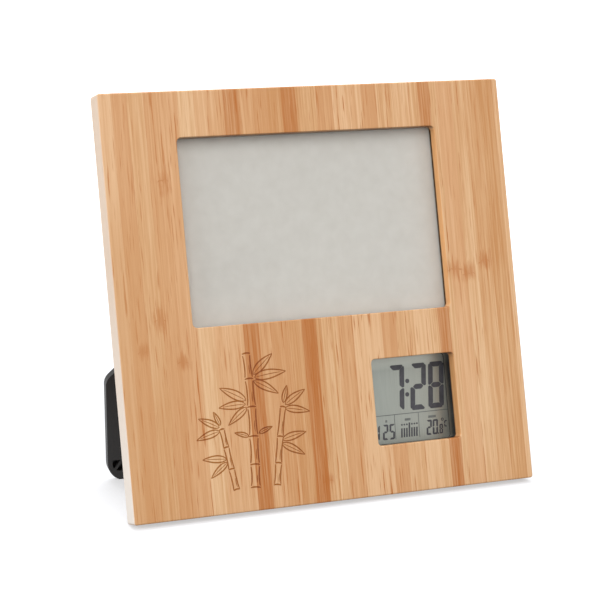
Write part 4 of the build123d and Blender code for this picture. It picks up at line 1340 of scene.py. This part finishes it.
@dataclass
class Finishes:
    """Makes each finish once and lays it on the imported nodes."""

    shop: Workshop
    bamboo: BambooFinish = BambooFinish()
    plastic: MouldedFinish = MouldedFinish("moulded_black", srgb(31, 29, 28), srgb(47, 45, 43), 0.44)

    def dress(self, material: bpy.types.Material, nodes: Iterable[str]) -> None:
        """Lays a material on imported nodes."""
        for name in nodes:
            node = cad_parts[name]
            if node.data.materials:
                for slot in node.material_slots:
                    slot.material = material
            else:
                node.data.materials.append(material)
            LOG.info("node %s in %s", name, material.name)

    def lay(self) -> None:
        """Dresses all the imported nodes."""
        for finish, nodes in (*self.body(), *self.metal(), *self.clockwork()):
            self.dress(finish.build(self.shop), nodes.split())

    def body(self) -> Iterable[tuple[Finish, str]]:
        """Finishes of the board, the leg, the case and the picture, each with its nodes."""
        black = self.plastic
        return ((self.bamboo, "front_board"),
                (black, "clock_cover stand_leg hinge_bracket battery_door"),
                (NeckFinish("case_black", black.colour, black.worn, black.roughness), "clock_case"),
                (PaneFinish(), "picture_pane"),
                (PressedFinish("grey_card", srgb(209, 206, 199), srgb(192, 189, 182), srgb(224, 222, 216),
                               covers=(6.2, 4.0)), "picture_card"),
                (PressedFinish("hardboard", srgb(142, 104, 70), srgb(98, 68, 42), srgb(160, 124, 88),
                               size=900.0, amount=0.5, roughness=0.8), "backing_board"))

    def metal(self) -> Iterable[tuple[Finish, str]]:
        """Finishes of tabs, screws, pin and contacts, each with its nodes."""
        return ((MetalFinish("nickel_plate", srgb(196, 194, 188), srgb(168, 164, 156), 0.24),
                 "turn_tab_left_low turn_tab_left_high turn_tab_right_low turn_tab_right_high"),
                (MetalFinish("zinc_steel", srgb(180, 182, 184), srgb(140, 142, 146), 0.3,
                             (900.0, 900.0, 900.0)),
                 "turn_tab_screws case_board_screws cover_screws bracket_screws hinge_pin"),
                (MetalFinish("spring_nickel", srgb(200, 196, 186), srgb(160, 150, 132), 0.2,
                             (400.0, 400.0, 4000.0)), "cell_springs cell_link_plate cell_terminal_plates"),
                (MetalFinish("crystal_can", srgb(206, 206, 204), srgb(176, 176, 174), 0.16,
                             (3000.0, 600.0, 600.0)), "quartz_crystal"))

    def clockwork(self) -> Iterable[tuple[Finish, str]]:
        """Finishes of the display, the circuit, the cells and small parts, each with its nodes."""
        return ((DisplayFinish(), "display_panel"),
                (MouldedFinish("charcoal_foam", srgb(46, 46, 48), srgb(62, 62, 64), 0.92, pits=900.0,
                               depth=0.0002), "display_gasket"),
                (MouldedFinish("button_rubber", srgb(72, 74, 78), srgb(92, 94, 98), 0.62, pits=3200.0),
                 "mode_button set_button up_button down_button switch_domes"),
                (StripedFinish(), "display_connector_low display_connector_high"),
                (CircuitFinish(), "circuit_board"),
                (MouldedFinish("potting_resin", srgb(20, 20, 22), srgb(34, 34, 36), 0.22, pits=500.0,
                               coat=0.4), "clock_chip"),
                (MouldedFinish("sounder_plastic", srgb(30, 30, 32), srgb(52, 52, 54), 0.36, pits=1800.0),
                 "alarm_sounder"),
                (MouldedFinish("sensor_bead", srgb(108, 58, 30), srgb(138, 82, 46), 0.3, pits=900.0,
                               coat=0.3), "temperature_sensor"),
                (CellFinish("cell_cap_up", "cell_left", True), "cell_left"),
                (CellFinish("cell_cap_down", "cell_right", False), "cell_right"),
                (MouldedFinish("red_insulation", srgb(168, 34, 30), srgb(190, 62, 54), 0.42, pits=3000.0),
                 "lead_plus"),
                (MouldedFinish("black_insulation", srgb(30, 30, 32), srgb(56, 56, 58), 0.42, pits=3000.0),
                 "lead_minus"))


@dataclass
class Studio:
    """Floor, lights and camera.

    Attributes:
        stand: Where the camera stands, in metres.
        turn: Its turn from straight back towards the right, in degrees.
        dip: How far it looks down, in degrees.
        lens: Focal length in millimetres for a sensor 36 mm wide.
        floor_half: Half the floor's side, in metres.
        floor_pale: The two tones of the floor that the camera sees.
        floor_dull: Tone of the floor for the light that it throws on the object.
        sky_power: Strength of the sky's light on the object.
        lamps: Name, place, side length and power in watts of each soft square lamp.
    """

    stand: tuple[float, float, float] = (-0.3826, -0.9259, 0.2991)
    turn: float = 22.24
    dip: float = 11.43
    lens: float = 119.82
    floor_half: float = 6.0
    floor_pale: tuple[Colour, Colour] = (srgb(188, 190, 194), srgb(192, 194, 198))
    floor_dull: Colour = srgb(140, 138, 136)
    sky_power: float = 0.6
    lamps: tuple[tuple[str, tuple[float, float, float], float, float], ...] = (
        ("key", (-0.5, -1.9, 1.8), 2.4, 28.0), ("left", (-2.0, -0.5, 0.7), 1.2, 14.5),
        ("right", (1.7, -1.4, 1.1), 1.6, 8.0), ("top", (0.1, 0.7, 2.2), 1.5, 26.0))

    def build(self) -> None:
        """Builds the floor, the sky, the lamps and the camera."""
        self.add_floor()
        self.add_sky()
        for name, place, size, power in self.lamps:
            lamp = bpy.data.lights.new(name, "AREA")
            lamp.size = size
            lamp.energy = power
            hung = self.linked(name, lamp)
            hung.location = place
            aim = Vector((0.0, 0.0, 0.1)) - Vector(place)
            hung.rotation_euler = aim.to_track_quat("-Z", "Y").to_euler()
        self.add_camera()
        bpy.context.scene.view_settings.view_transform = "Standard"

    def linked(self, name: str, data: bpy.types.ID) -> bpy.types.Object:
        """Puts a new object with that data into the scene."""
        made = bpy.data.objects.new(name, data)
        bpy.context.scene.collection.objects.link(made)
        return made

    def add_floor(self) -> None:
        """Adds the pale floor, which shows as white where no shadow falls."""
        half = self.floor_half
        mesh = bpy.data.meshes.new("studio_floor")
        mesh.from_pydata([(-half, -half, 0.0), (half, -half, 0.0), (half, half, 0.0), (-half, half, 0.0)], [],
                         [(0, 1, 2, 3)])
        floor = self.linked("studio_floor", mesh)
        material, pen, shader = blank_material("studio_floor")
        places = pen.read("ShaderNodeTexCoord", output="Object")
        pale = pen.blend(pen.noise(places, 3.0), *self.floor_pale)
        away = pen.read("ShaderNodeVectorMath", {0: places}, "Value", operation="LENGTH")
        seen = pen.seen()
        pen.feed_all(shader, {"Base Color": pen.blend(seen, self.floor_dull, pale), "Roughness": 0.9,
                              "Specular IOR Level": 0.1, "Emission Color": WHITE,
                              "Emission Strength": seen * pen.span(away, 0.25, 1.0, 0.5, 1.0)})
        mesh.materials.append(material)

    def add_sky(self) -> None:
        """Adds an even sky: soft light on the object, white to the camera."""
        world = bpy.data.worlds.new("studio_sky")
        bpy.context.scene.world = world
        world.use_nodes = True
        world.node_tree.nodes.clear()
        pen = NodePen(world.node_tree)
        strength = pen.seen() * (1.0 - self.sky_power) + self.sky_power
        sky = pen.node("ShaderNodeBackground", {"Color": WHITE, "Strength": strength})
        pen.node("ShaderNodeOutputWorld", {"Surface": sky.outputs[0]})

    def add_camera(self) -> None:
        """Adds the camera at the photograph's angle."""
        camera = bpy.data.cameras.new("camera")
        camera.sensor_width = 36.0
        camera.lens = self.lens
        camera.clip_end = 100.0
        held = self.linked("camera", camera)
        held.location = self.stand
        held.rotation_euler = Euler((math.radians(90.0 - self.dip), 0.0, -math.radians(self.turn)))
        bpy.context.scene.camera = held


def main() -> None:
    """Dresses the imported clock, adds its small detail and sets up the studio."""
    logging.basicConfig(level=logging.INFO, format="%(message)s")
    shop = Workshop(BoardPlane.from_frame("picture_pane", "front_board"), Effects())
    finishes = Finishes(shop)
    finishes.lay()
    ink = InkFinish("display_segment", srgb(52, 52, 58), srgb(66, 66, 72)).build(shop)
    faint = InkFinish("display_print", srgb(88, 92, 92), srgb(104, 108, 106)).build(shop)
    DisplayReadout(shop, ink, faint).build()
    BambooSprig(shop, finishes.bamboo.burnt(shop, srgb(172, 133, 58))).build()
    white = InkFinish("button_print", srgb(214, 214, 210), srgb(198, 198, 194), 0.55).build(shop)
    raised = finishes.plastic.build(shop)
    RearMarks(shop, white, raised).build()
    Studio().build()


if __name__ == "__main__":
    main()
